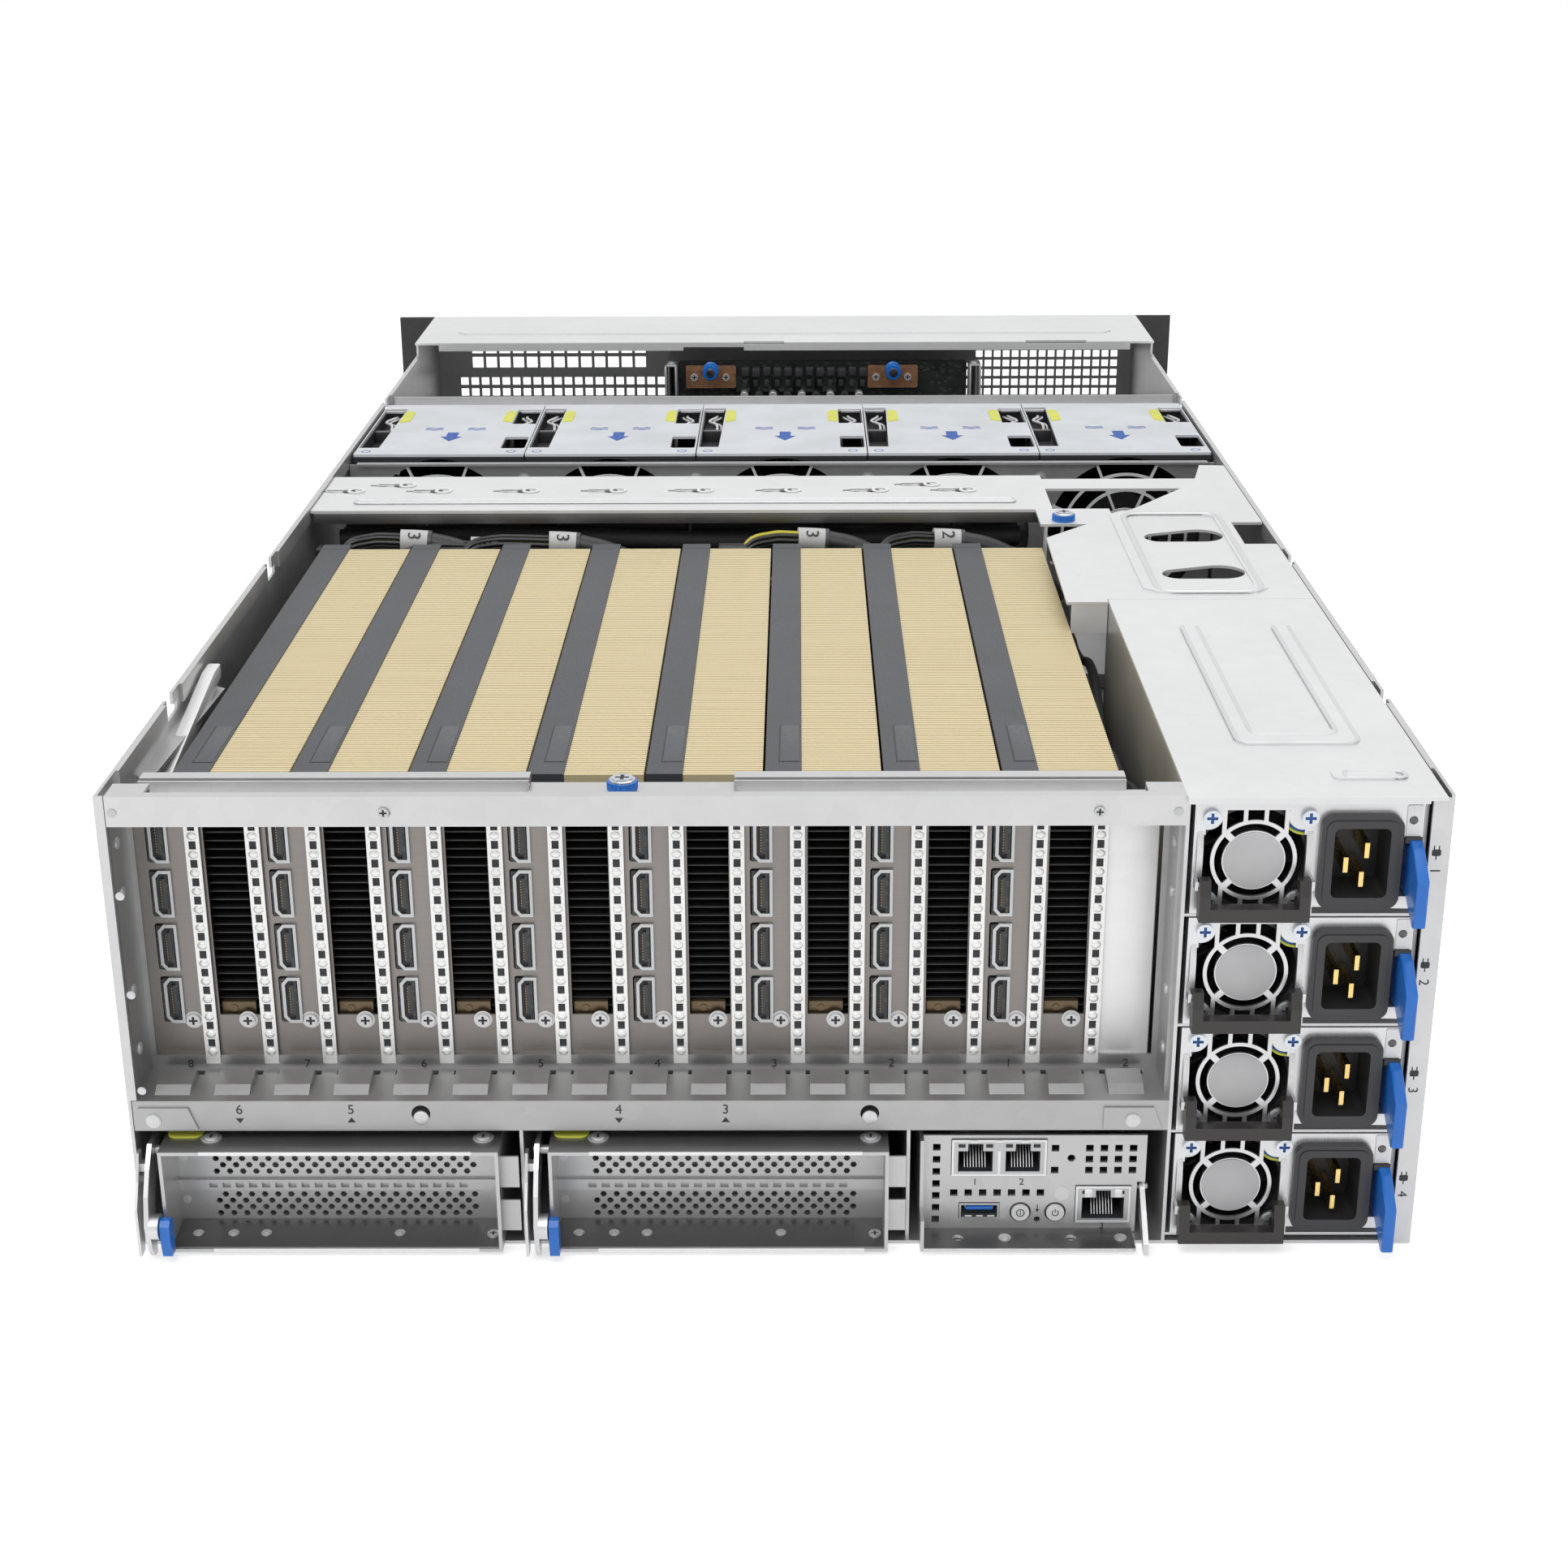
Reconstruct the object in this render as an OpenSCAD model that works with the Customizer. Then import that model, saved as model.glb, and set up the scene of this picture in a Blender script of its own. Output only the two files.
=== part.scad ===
// Rack server, four units high: eight double-width accelerator cards, five fan modules,
// four power supplies and two riser trays in one sheet-metal chassis, lid off.
// X runs across the chassis, Y from the rear edge (negative) to the front, Z up.
// The origin is on the underside, at the middle of the chassis.

/* [Chassis] */
// Outside width of the chassis
body_w = 439.5; // [436:0.5:446]
// Depth from the rear edge to the front face
body_d = 800; // [790:1:840]
// Height of the side walls with the lid off
wall_h = 167; // [166:0.5:172]
// Height of the fixed front section
front_h = 175; // [173:0.5:177]
// Depth of the fixed front section
front_len = 86; // [70:1:92]
// Width of a rack ear beside the chassis
ear_w = 21.55; // [21:0.05:22]
// Sheet thickness
sheet = 1.2; // [1:0.1:1.4]
// Height of the folded hem on the side walls
hem_h = 7; // [5:0.5:9]
// Underside of the card deck, above the lower row of trays
row_h = 44.6; // [43.8:0.1:45.4]

/* [Clearances] */
// Gap beside a piece that slides or turns
run_gap = 0.3; // [0.25:0.05:0.4]
// Gap between riveted sheets of one cage
seam = 0.05; // [0.02:0.01:0.1]

/* [Expansion slots] */
// Distance between slot centres
slot_pitch = 20.32; // [20.1:0.02:20.5]
// Number of slots
slot_count = 17; // [17]
// From the left side of the chassis to the first slot centre
first_slot = 14.25; // [14:0.25:15]
// Depth of the slot plate behind the rear edge
slot_inset = 24; // [20:0.5:26]
// Lower edge of the slot window
window_z0 = 61; // [60:0.5:63]
// Upper edge of the slot window
window_z1 = 152; // [148:0.5:154]
// Width of a shielding strip
strip_w = 5; // [4:0.2:6]
// Height of the rear beam
beam_h = 10.5; // [8:0.5:11]
// Depth of the rear beam's top lip
beam_lip = 4; // [3:0.5:6]

/* [Cards] */
// Number of double-width cards
card_count = 8; // [8]
// Length of a card from its bracket
card_len = 312; // [300:1:314]
// Top of the cards
card_top = 157; // [155:0.5:158]
// Width of a card body over two slots
card_w = 40.1; // [38:0.1:40.2]
// Width of the dark shroud on the card top
shroud_w = 12.4; // [11:0.1:14]
// Distance between cooling fins
fin_pitch = 4.8; // [4.4:0.1:6]
// Height between video sockets
port_pitch = 20; // [18:0.5:20.5]

/* [Power supplies] */
// Number of power supplies
psu_count = 4; // [4]
// Width of a power supply
psu_w = 74; // [72:0.5:74.5]
// Height of a power supply
psu_h = 38.7; // [38:0.1:38.9]
// Length of a power supply
psu_len = 200; // [190:1:205]
// Width of the chassis flange beside the supplies
psu_flange = 6.8; // [6:0.2:8]
// Thickness of the shelf under each supply
shelf_t = 1; // [0.8:0.1:1.2]
// Radius of the air ring on a supply
ring_r = 14.1; // [13:0.1:14.6]

/* [Lower row] */
// Width of a riser bay with its partition
bay_w = 132.4; // [131:0.2:133.5]
// Length of a riser tray
riser_len = 150; // [120:1:156]
// Recess of the perforated plate in a riser tray
riser_inset = 20; // [16:0.5:22]
// How far the tray lips stand out of the rear edge
lip_out = 8; // [6:0.5:9]
// Distance between perforation holes
hole_pitch = 4.6; // [4.4:0.1:5]

/* [Fans] */
// Number of fan modules
fan_count = 5; // [5]
// Depth of a fan module
fan_d = 114; // [110:1:116]
// Height of a fan module
fan_h = 82; // [81:0.5:84]
// Radius of the air bore
fan_r = 38.5; // [36:0.5:39]
// Radius of a fan hub
hub_r = 17; // [15:0.5:19]
// Distance from the cross brace to the fan wall
fan_gap = 40; // [36:1:46]

/* [Cross brace] */
// Distance from the cards to the cross brace
brace_gap = 26; // [24:1:30]
// Depth of the cross brace
brace_d = 64; // [62:1:68]

/* [Hidden] */

xr = body_w / 2;
xl = -xr;
yf = body_d / 2;
yr = -yf;
in_l = xl + sheet;
in_r = xr - sheet;
lid_z = wall_h - sheet;
front_y0 = yf - front_len;

// Power supply column
psu_x1 = xr - psu_flange - 2.6;
psu_x0 = psu_x1 - psu_w;
cage_x0 = psu_x0 - 1.6 - sheet;
cage_x1 = cage_x0 + sheet;
psu_step = psu_h + shelf_t + 2 * run_gap;
psu_base = lid_z - 1.8 - 3 * psu_step - psu_h;
cage_y1 = yr + psu_len + 16;

// Slots and cards
slot_y = yr + slot_inset;
plate_y1 = slot_y + sheet;
bracket_t = 0.9;
ledge_z = window_z0 - 5;
function slot_x(k) = xl + first_slot + k * slot_pitch;
function card_x(i) = slot_x(2 * i) - 0.9;
board_t = 1.6;
function board_x(i) = card_x(i) + 1.1;
shroud_x = 1.4 + board_t;
cap_h = 3;
window_x0 = slot_x(0) - slot_pitch / 2;
card_y0 = slot_y + 22;
card_y1 = slot_y + card_len;
deck_z = row_h + sheet;
switch_z = deck_z + 0.2;
socket_h = 11.2;
socket_top = switch_z + 2 + socket_h;
card_z0 = socket_top + 1;
beam_z0 = wall_h - beam_h;

// As many slots as fit beside the power supply column, two to a card
slot_room = cage_x0 - xl - first_slot - slot_pitch / 2 - 0.9;
slot_n = min(slot_count, floor(slot_room / slot_pitch) + 1);
card_n = min(card_count, floor(slot_n / 2));
window_x1 = slot_x(slot_n - 1) + slot_pitch / 2;

// Cross brace in front of the cards
brace_z0 = lid_z - sheet;
brace_y0 = card_y1 + brace_gap;
brace_y1 = brace_y0 + brace_d;
brace_post_x = cage_x0 - 10;
fan_y = brace_y1 + fan_gap;

// Lower row
floor_z = sheet + 0.4;
tray_t = 1.2;
tray_h = 39;
riser_x = [for (k = [0:1]) in_l + k * bay_w];
lever_w = 9.3;
tab_w = 6.4;
io_x0 = in_l + 2 * bay_w + 4.5;
io_x1 = cage_x0 - 4.2;

// Fans
fan_pitch = (body_w - 7) / fan_count;
function fan_x(i) = (i - (fan_count + 1) / 2) * fan_pitch;
fan_w = fan_pitch - 0.6;
mod_y0 = fan_y + sheet + run_gap + 4;
mod_y1 = mod_y0 + fan_d;
mod_z1 = wall_h - 1;
mod_z0 = mod_z1 - fan_h;
fan_z = mod_z0 + fan_h / 2;

// ---------------------------------------------------------------- helpers
module box(lo, hi) {
  translate(lo) cube([hi[0] - lo[0], hi[1] - lo[1], hi[2] - lo[2]]);
}

// A flat outline drawn in X and Z, made t thick from y towards the front
module plate_xz(y, t) {
  translate([0, y + t, 0]) rotate([90, 0, 0]) linear_extrude(t) children();
}

// A flat outline drawn in Y and Z, made t thick from x to the right
module plate_yz(x, t) {
  translate([x, 0, 0]) rotate([90, 0, 90]) linear_extrude(t) children();
}

module plate_xy(z, t) {
  translate([0, 0, z]) linear_extrude(t) children();
}

module rect(lo, hi) {
  translate(lo) square([hi[0] - lo[0], hi[1] - lo[1]]);
}

// Rectangle with cut corners
module cut_rect(lo, hi, c) {
  polygon([[lo[0] + c, lo[1]], [hi[0] - c, lo[1]], [hi[0], lo[1] + c], [hi[0], hi[1] - c],
    [hi[0] - c, hi[1]], [lo[0] + c, hi[1]], [lo[0], hi[1] - c], [lo[0], lo[1] + c]]);
}

// Rectangle with corners of radius r
function arc_pts(c, r, a0, n = 6) = [for (i = [0:n]) c + r * [cos(a0 + i * 90 / n), sin(a0 + i * 90 / n)]];

module round_rect(lo, hi, r) {
  polygon(concat(arc_pts([hi[0] - r, hi[1] - r], r, 0), arc_pts([lo[0] + r, hi[1] - r], r, 90),
    arc_pts([lo[0] + r, lo[1] + r], r, 180), arc_pts([hi[0] - r, lo[1] + r], r, 270)));
}

// ---------------------------------------------------------------- chassis
// Side wall outline: rear part at lid height, front part higher, hook notches in the top edge
hook_y = [-306, -129, 188];
hook_w = 9;
hook_deep = 8;

module hook_notch(y) {
  polygon([[y, wall_h + 1], [y, wall_h - hook_deep], [y + hook_w + 5, wall_h - hook_deep],
    [y + hook_w + 5, wall_h - hook_deep + 3.5], [y + hook_w, wall_h - hook_deep + 3.5],
    [y + hook_w, wall_h + 1]]);
}

module wall_outline() {
  difference() {
    polygon([[yr, 0], [yf - sheet, 0], [yf - sheet, front_h - sheet], [front_y0 + 4, front_h - sheet],
      [front_y0 + 4, wall_h], [yr, wall_h]]);
    for (y = hook_y) hook_notch(y);
    translate([yr + 19, wall_h - 5]) circle(2.2, $fn = 12);
  }
}

module hem_outline() {
  difference() {
    rect([yr + 24, wall_h - hem_h], [front_y0 - 6, wall_h]);
    for (y = hook_y) rect([y - 5, wall_h - hem_h - 1], [y + hook_w + 10, wall_h + 1]);
  }
}

module chassis_tray() {
  color("gainsboro") {
    box([in_l - sheet / 2, yr, 0], [in_r + sheet / 2, yf - sheet, sheet]);
    plate_yz(xl, sheet) wall_outline();
    plate_yz(in_r, sheet) wall_outline();
    plate_yz(in_l - 0.1, sheet + 0.1) hem_outline();
    plate_yz(in_r - sheet, sheet + 0.1) hem_outline();
    // Rear return flanges
    box([xr - psu_flange, yr, 0], [in_r + sheet / 2, yr + sheet, lid_z]);
    box([in_l - sheet / 2, yr, ledge_z + 0.2], [in_l + 2, yr + sheet, wall_h]);
    // Partitions of the lower row
    for (k = [1, 2])
      box([in_l + k * bay_w - sheet, yr + 2, sheet / 2],
          [in_l + k * bay_w, yr + riser_len + 20, row_h]);
    // Slanted rail on the left wall beside the cards
    plate_xy(wall_h - 14, 1.5)
      polygon([[in_l - 0.1, yr + 50], [in_l + 5, yr + 56], [in_l + 9, yr + 144], [in_l - 0.1, yr + 150]]);
    // Ledges that carry the cross brace
    for (x = [in_l - 0.1, in_r - 8 + 0.1])
      box([x, brace_y0 + 8, brace_z0 - 4], [x + 8, brace_y1 - 12, brace_z0 - 2.8]);
  }
}

module front_cover() {
  z = front_h - sheet;
  color("whitesmoke") {
    plate_xy(z, sheet) difference() {
      rect([xl, front_y0], [xr, yf]);
      rect([xr - 76, front_y0 - 1], [xr - 40, front_y0 + 5]);
      rect([-24, front_y0 - 1], [0, front_y0 + 4]);
    }
    // Raised panel
    plate_xy(front_h, 0.8) cut_rect([xl + 22, front_y0 + 26], [xr - 22, yf - 14], 5);
    // Rear lip, stepped down towards the lid
    difference() {
      box([xl + 14, front_y0, z - 3.6], [xr - 14, front_y0 + sheet, z + 0.1]);
      box([-60, front_y0 - 1, z - 4], [-24, front_y0 + 3, z - 1.5]);
    }
    // Front turn-down, against the front panel
    box([in_l + run_gap, yf - 2 * sheet, z - 6], [in_r - run_gap, yf - sheet, z + 0.1]);
  }
}

// Rack ears: angle brackets beside the front face with rack holes
ear_out = xr + ear_w;
ear_hole_x = ear_out - 8.75;
ear_pitch = 101.6;
ear_hole_z = [front_h / 2 - ear_pitch / 2, front_h / 2 + ear_pitch / 2];
ear_r = 3.4;

module rack_ears() {
  color([0.12, 0.12, 0.13])
    for (s = [-1, 1]) scale([s, 1, 1]) {
      difference() {
        box([xr, yf - 3, 1], [ear_out, yf, front_h]);
        for (z = ear_hole_z)
          translate([ear_hole_x, yf - 5, z]) rotate([-90, 0, 0]) cylinder(h = 10, r = ear_r, $fn = 32);
      }
      box([xr, yf - 34, 6], [xr + 1.5, yf - 2.9, front_h - 8]);
    }
}

// ---------------------------------------------------------------- front
bay_x0 = -63;
bay_n = 8;
bay_step = 21.5;
bay_h = 74;
bay_z1 = front_h - 17;
bay_z0 = bay_z1 - bay_h;
grille_z0 = 14;
grille_z1 = front_h - 51;
bay_x1 = bay_x0 + bay_n * bay_step;
backplane_y = front_y0 + 16;

module hole_grid(x0, x1, z0, z1, step, side) {
  nx = floor((x1 - x0) / step);
  nz = floor((z1 - z0) / step);
  for (i = [0:nx - 1], j = [0:nz - 1])
    translate([x0 + (i + 0.5) * (x1 - x0) / nx, z0 + (j + 0.5) * (z1 - z0) / nz])
      square(side, center = true);
}

module front_panel() {
  top = front_h - sheet;
  left = in_l + run_gap;
  right = in_r - run_gap;
  color("gainsboro") {
    plate_xz(yf - sheet, sheet) difference() {
      rect([xl, 0], [xr, top]);
      hole_grid(left + 12, bay_x0 - 12, grille_z1, grille_z1 + 14, 6.4, 4.8);
      hole_grid(left + 20, bay_x0 - 24, grille_z1 + 18, grille_z1 + 36, 8.4, 6.8);
      hole_grid(bay_x1 + 5, right - 8, grille_z1, grille_z1 + 30, 5.6, 4.2);
      hole_grid(left + 12, bay_x0 - 12, grille_z0, grille_z1 - 12, 9, 6.8);
      hole_grid(bay_x1 + 5, right - 8, grille_z0, grille_z1 - 12, 9, 6.8);
      hole_grid(bay_x0 + 4, bay_x1 - 4, grille_z0, bay_z0 - 14, 9, 6.8);
      for (i = [0:bay_n - 1])
        rect([bay_x0 + i * bay_step + 1, bay_z0 + 1], [bay_x0 + (i + 1) * bay_step - 1, bay_z1 - 1]);
    }
    // Drive cage behind the bays: two sides, top, bottom and the bay guides
    for (i = [0:bay_n])
      box([bay_x0 + i * bay_step - 0.5, backplane_y, bay_z0 - 1],
          [bay_x0 + i * bay_step + 0.5, yf - sheet / 2, bay_z1 + 1]);
    for (z = [bay_z0 - 1, bay_z1])
      box([bay_x0 - 0.5, backplane_y, z], [bay_x1 + 0.5, yf - sheet / 2, z + 1]);
    // Side brackets down to the floor
    for (x = [bay_x0 - 8, bay_x1 + 6.8])
      box([x, backplane_y + 6, sheet], [x + sheet, yf - sheet / 2, bay_z1 + 1]);
    for (x = [bay_x0 - 8, bay_x1])
      box([x, backplane_y + 6, bay_z1], [x + 8, yf - sheet / 2, bay_z1 + 1]);
  }
}

post_left = 19;
post_right = 44;
post_x = [bay_x0 + post_left, bay_x1 - post_right];

module drive_backplane() {
  y = backplane_y - 2;
  color([0.1, 0.12, 0.11]) {
    difference() {
      box([bay_x0 - 0.5, y, bay_z0 - 8], [bay_x1 + 0.5, backplane_y, bay_z1 + 3]);
      for (x = post_x)
        translate([x, y - 1, bay_z1 - 3]) rotate([-90, 0, 0]) cylinder(h = 4, r = 2.2, $fn = 24);
    }
    // Power sockets and capacitors on the rear face
    for (i = [0:5])
      box([bay_x0 + 34 + i * 13, y - 8, bay_z1 - 14], [bay_x0 + 42 + i * 13, y, bay_z1 - 5]);
    for (i = [0:9])
      translate([bay_x0 + 16 + i * 15, y - 6, bay_z1 - 30]) rotate([-90, 0, 0])
        cylinder(h = 6, r = 3, $fn = 12);
  }
}

// ---------------------------------------------------------------- slot wall
beam_tab = 12;

module rear_beam() {
  x0 = in_l + 2.3;
  x1 = cage_x0;
  color("lightgray") {
    difference() {
      box([x0, yr, beam_z0], [x1, yr + sheet, wall_h]);
      for (x = [x0 + 91, x1 - 28])
        translate([x, yr - 1, wall_h - 5.5]) rotate([-90, 0, 0]) cylinder(h = 4, r = 1.6, $fn = 24);
    }
    box([x0, yr, wall_h - sheet], [x1, yr + beam_lip, wall_h]);
    // Lower return, and hooked tabs that drop over the side returns
    box([x0, yr, beam_z0], [x1, yr + 5, beam_z0 + 1]);
    for (x = [x0, x1 - beam_tab]) {
      box([x, yr, wall_h - sheet], [x + beam_tab, yr + 12, wall_h]);
      box([x, yr + 11, wall_h - 7], [x + beam_tab, yr + 12, wall_h]);
    }
  }
}

// One louvre bridge over a tongue slot, as a side outline in Y and Z
module louvre() {
  polygon([[yr + 4, ledge_z - 0.2], [slot_y - 5, ledge_z - 0.2], [slot_y - 7, ledge_z + 3.2],
    [yr + 8, ledge_z + 2.2]]);
}

module slot_frame() {
  x0 = in_l + run_gap;
  x1 = cage_x0;
  color("silver") {
    // Slot plate with one wide window
    plate_xz(slot_y, sheet) difference() {
      rect([x0, ledge_z - sheet], [x1, bracket_z1 - 0.1]);
      rect([window_x0 + 0.6, window_z0], [window_x1 + 0.6, window_z1]);
    }
    // Side returns
    for (x = [x0, x1 - sheet])
      plate_yz(x, sheet) difference() {
        rect([yr + 5.2, ledge_z - sheet], [slot_y + sheet / 2, beam_z0 - 0.3]);
        for (z = [70, 92, 128, 146]) translate([yr + 12, z]) circle(1.7, $fn = 8);
      }
    // Ledge with tongue slots and bridges
    plate_xy(ledge_z - sheet, sheet) difference() {
      rect([x0, yr], [x1, slot_y + sheet / 2]);
      for (k = [0:slot_n - 1])
        rect([slot_x(k) - 7.5, slot_y - 5], [slot_x(k) + 7.5, slot_y - 2]);
    }
    for (k = [0:slot_n - 1]) plate_yz(slot_x(k) - 6, 12) louvre();
    // Shelf face with two keyholes
    plate_xz(yr, sheet) difference() {
      rect([x0, row_h], [x1, ledge_z - sheet / 2]);
      for (x = [xl + 99.5, xl + 252]) {
        translate([x, row_h + 6.5]) circle(3.2, $fn = 24);
        rect([x - 1.2, row_h + 3.5], [x + 1.2, row_h + 6.5]);
      }
    }
    // Deck over the lower row
    box([x0, yr, row_h], [x1, brace_y0 - 20, deck_z]);
    // Corner gussets on the shelf face
    for (x = [x0 + 2, x1 - 22])
      plate_xz(yr - 0.8, 0.9) polygon([[x, row_h + 0.8], [x + 20, row_h + 0.8], [x + 17, row_h + 9],
        [x, row_h + 9]]);
  }
}

module emi_strips() {
  color("white")
    plate_xz(slot_y - 0.6, 0.6)
      for (k = [0:slot_n - 2]) {
        x = slot_x(k) + slot_pitch / 2;
        difference() {
          rect([x - strip_w / 2, window_z0 - 3], [x + strip_w / 2, bracket_z1 - 0.3]);
          for (j = [0:12])
            translate([x, window_z0 + 5 + j * (window_z1 - window_z0 - 10) / 12])
              square([2.4, 3], center = true);
        }
      }
}

// Bracket of one card: left half with four socket windows, right half open
bracket_z1 = card_top - 1;
port_z0 = window_z0 + 21;

module bracket_2d(x0, x1, kind, xp = 0) {
  difference() {
    rect([x0, window_z0 - 4.5], [x1, bracket_z1]);
    if (kind == "sockets")
      for (j = [0:3])
        cut_rect([xp - port_w - 0.5, port_z0 + j * port_pitch - 8.7],
                 [xp + 0.5, port_z0 + j * port_pitch + 8.7], 0.6);
    if (kind == "vent")
      rect([x0 + 3.4, window_z0 + 15], [x1 - 2.4, bracket_z1 - 8]);
  }
}

module slot_brackets() {
  y = plate_y1 + 0.1;
  color([0.55, 0.52, 0.49])
    for (i = [0:card_n - 1]) {
      x0 = slot_x(2 * i) - slot_pitch / 2 + 0.5;
      xm = slot_x(2 * i) + slot_pitch / 2;
      x1 = slot_x(2 * i + 1) + slot_pitch / 2 - 0.5;
      plate_xz(y, bracket_t) union() {
        bracket_2d(x0, xm, "sockets", board_x(i));
        bracket_2d(xm, x1, "vent");
      }
      // Folded top tab under the retention bar
      box([x0, slot_y - 7, bracket_z1], [x1, y + bracket_t, card_top]);
    }
  // Blank brackets over the slots that no card takes
  color("whitesmoke")
    for (k = [2 * card_n:1:slot_n - 1]) {
      x0 = slot_x(k) - slot_pitch / 2 + 1.4;
      x1 = slot_x(k) + slot_pitch / 2 - 0.5;
      plate_xz(y, bracket_t) rect([x0, window_z0 - 4.5], [x1, bracket_z1]);
      box([x0, slot_y - 7, bracket_z1], [x1, y + bracket_t, card_top]);
    }
}

bar_z1 = lid_z - 1;
bar_y = yr + 20;
bar_d = 8;
bar_plate_z = card_top + 3;
thumb_x = -50;
thumb_y = yr + 20;

// Folded sheet section in Y and Z: upright rear face, a groove, a flat top and a front leg
module bar_profile() {
  t = 1;
  groove_y = bar_y + 2.5;
  groove_z = bar_z1 - 2;
  front = bar_y + bar_d;
  polygon([[bar_y, card_top], [bar_y, bar_z1 - 0.3], [bar_y + t, bar_z1 - 0.3], [bar_y + t, groove_z],
    [groove_y, groove_z], [groove_y, bar_z1], [front, bar_z1], [front, card_top],
    [front - t, card_top], [front - t, bar_z1 - t], [groove_y + t, bar_z1 - t],
    [groove_y + t, groove_z - t], [bar_y + t, groove_z - t], [bar_y + t, card_top]]);
}

module retention_bar() {
  y0 = bar_y - 4;
  y1 = bar_y + bar_d - 0.5;
  left = in_l + 8;
  right = cage_x0 - 17;
  color("lightgray") {
    for (r = [[left, thumb_x - 31], [thumb_x + 37, right]])
      plate_yz(r[0], r[1] - r[0]) bar_profile();
    // Plate of the captive screw, with a lip along its rear edge
    difference() {
      box([thumb_x - 32, y0, bar_plate_z], [thumb_x + 38, y1, bar_plate_z + 1.2]);
      translate([thumb_x, thumb_y, card_top]) cylinder(h = 8, r = 2.2, $fn = 24);
    }
    box([thumb_x - 32, y0, bar_plate_z - 2], [thumb_x + 38, y0 + 0.8, bar_plate_z + 0.1]);
    // Hooked ends on the side returns
    for (r = [[in_l + 1.5, left + 1], [right - 1, cage_x0 - 1.5]])
      box([r[0], y0, card_top], [r[1], y1, card_top + 1.2]);
  }
}

// Blue knurled captive screws: [x, y, z of the seat, head height]
module captive_screw(h) {
  cylinder(h = h, r = 5.2, $fn = 12);
  translate([0, 0, h]) cylinder(h = 1, r = 4.2, $fn = 12);
}

module captive_screws() {
  color("royalblue") {
    translate([thumb_x, thumb_y, bar_plate_z + 1.2]) captive_screw(3.4);
    translate([brace_post_x + 5, brace_y0 - 19, brace_z0 + 1.2]) captive_screw(3);
    for (x = post_x) {
      translate([x, backplane_y - 2 - 12, bay_z1 - 3]) rotate([-90, 0, 0]) captive_screw(11);
    }
  }
}

// ---------------------------------------------------------------- cards
module card_shrouds() {
  color([0.2, 0.21, 0.22])
    for (i = [0:card_n - 1]) {
      x = card_x(i);
      // Side shell with a cap that covers the board, and a turned-up foot and end
      box([x + shroud_x, card_y0, card_z0 + 10], [x + shroud_w, card_y1, card_top]);
      box([x, card_y0, card_top - cap_h], [x + shroud_x + 0.1, card_y1, card_top]);
      box([x + shroud_w - 0.1, card_y0 + 6, card_z0 + 10], [x + card_w, card_y1, card_z0 + 12]);
      box([x + shroud_w - 0.1, card_y1 - 6, card_z0 + 10], [x + card_w, card_y1, card_top - 18]);
    }
}

module card_fins() {
  x_gap = 0.1;
  y0 = card_y0;
  y1 = card_y1 - 6.2;
  n = floor((y1 - y0) / fin_pitch);
  z0 = card_z0 + 12.1;
  z1 = card_top - 0.4;
  root = z0 + 30;
  color("khaki")
    for (i = [0:card_n - 1])
      plate_yz(card_x(i) + shroud_w + x_gap, card_w - shroud_w - x_gap - 0.3) difference() {
        rect([y0, z0], [y1, z1]);
        for (j = [1:n - 1])
          rect([y0 + j * (y1 - y0) / n - 1.2, root], [y0 + j * (y1 - y0) / n + 1.2, z1 + 1]);
      }
}

// Circuit boards stand beside the shells, under the caps; their tongues go into the sockets below
port_w = 5.6;

module card_boards() {
  color([0.07, 0.08, 0.08])
    for (i = [0:card_n - 1]) {
      x = board_x(i);
      plate_yz(x, board_t) union() {
        rect([plate_y1 + bracket_t + 0.4, card_z0], [card_y1 - 2, card_top - cap_h - run_gap]);
        rect([slot_y + 60, switch_z + 4.4], [slot_y + 146, card_z0 + 0.1]);
      }
      // Video sockets soldered to the board, noses in the bracket windows
      for (j = [0:3]) {
        z = port_z0 + j * port_pitch;
        difference() {
          box([x - port_w, slot_y + 0.4, z - 8.2], [x + 0.1, slot_y + 19, z + 8.2]);
          box([x - port_w + 1, slot_y - 1, z - 7.2], [x - 0.9, slot_y + 10, z + 7.2]);
        }
        box([x - port_w / 2 - 0.5, slot_y + 2.4, z - 5.6], [x - port_w / 2 + 0.5, slot_y + 10.1, z + 5.6]);
      }
      // Power socket at the front end
      box([x + board_t - 0.1, card_y1 + 0.4, lead_z - 6.5], [x + board_t + 9, card_y1 + 9, lead_z + 6.5]);
      box([x, card_y1 - 2.1, lead_z - 6.5], [x + board_t, card_y1 + 8, lead_z + 6.5]);
    }
}

module switch_board() {
  color([0.06, 0.16, 0.1]) {
    box([window_x0 + 4, slot_y + 30, switch_z], [window_x1 - 12, card_y1 + 4, switch_z + 2]);
    for (x = [window_x0 + 10, window_x1 - 20], y = [slot_y + 36, card_y1 - 4])
      translate([x, y, deck_z]) cylinder(h = 0.3, r = 4, $fn = 12);
  }
  color([0.1, 0.1, 0.1])
    for (i = [0:card_n - 1]) {
      x = board_x(i) + board_t / 2;
      difference() {
        box([x - 3.7, slot_y + 56, switch_z + 2], [x + 3.7, slot_y + 150, socket_top]);
        box([x - 1.1, slot_y + 59, switch_z + 4], [x + 1.1, slot_y + 147, socket_top + 1]);
      }
    }
}

// Lead bundles from the card ends forward and down to the deck, one per card
lead_r = 3.2;
lead_z = card_top - 15.5;
lead_x = 1.1 + board_t + 4.5;
plug_top = 16;
lead_bow = [[0, 0, 0], [0, 5, 0], [0, 10, -1], [0, 14, -5], [0, 16, -12], [0, 16, -24], [0, 16, -50],
  [0, 16, -80], [0, 16, -105]];
lead_end = lead_bow[len(lead_bow) - 1];

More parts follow.
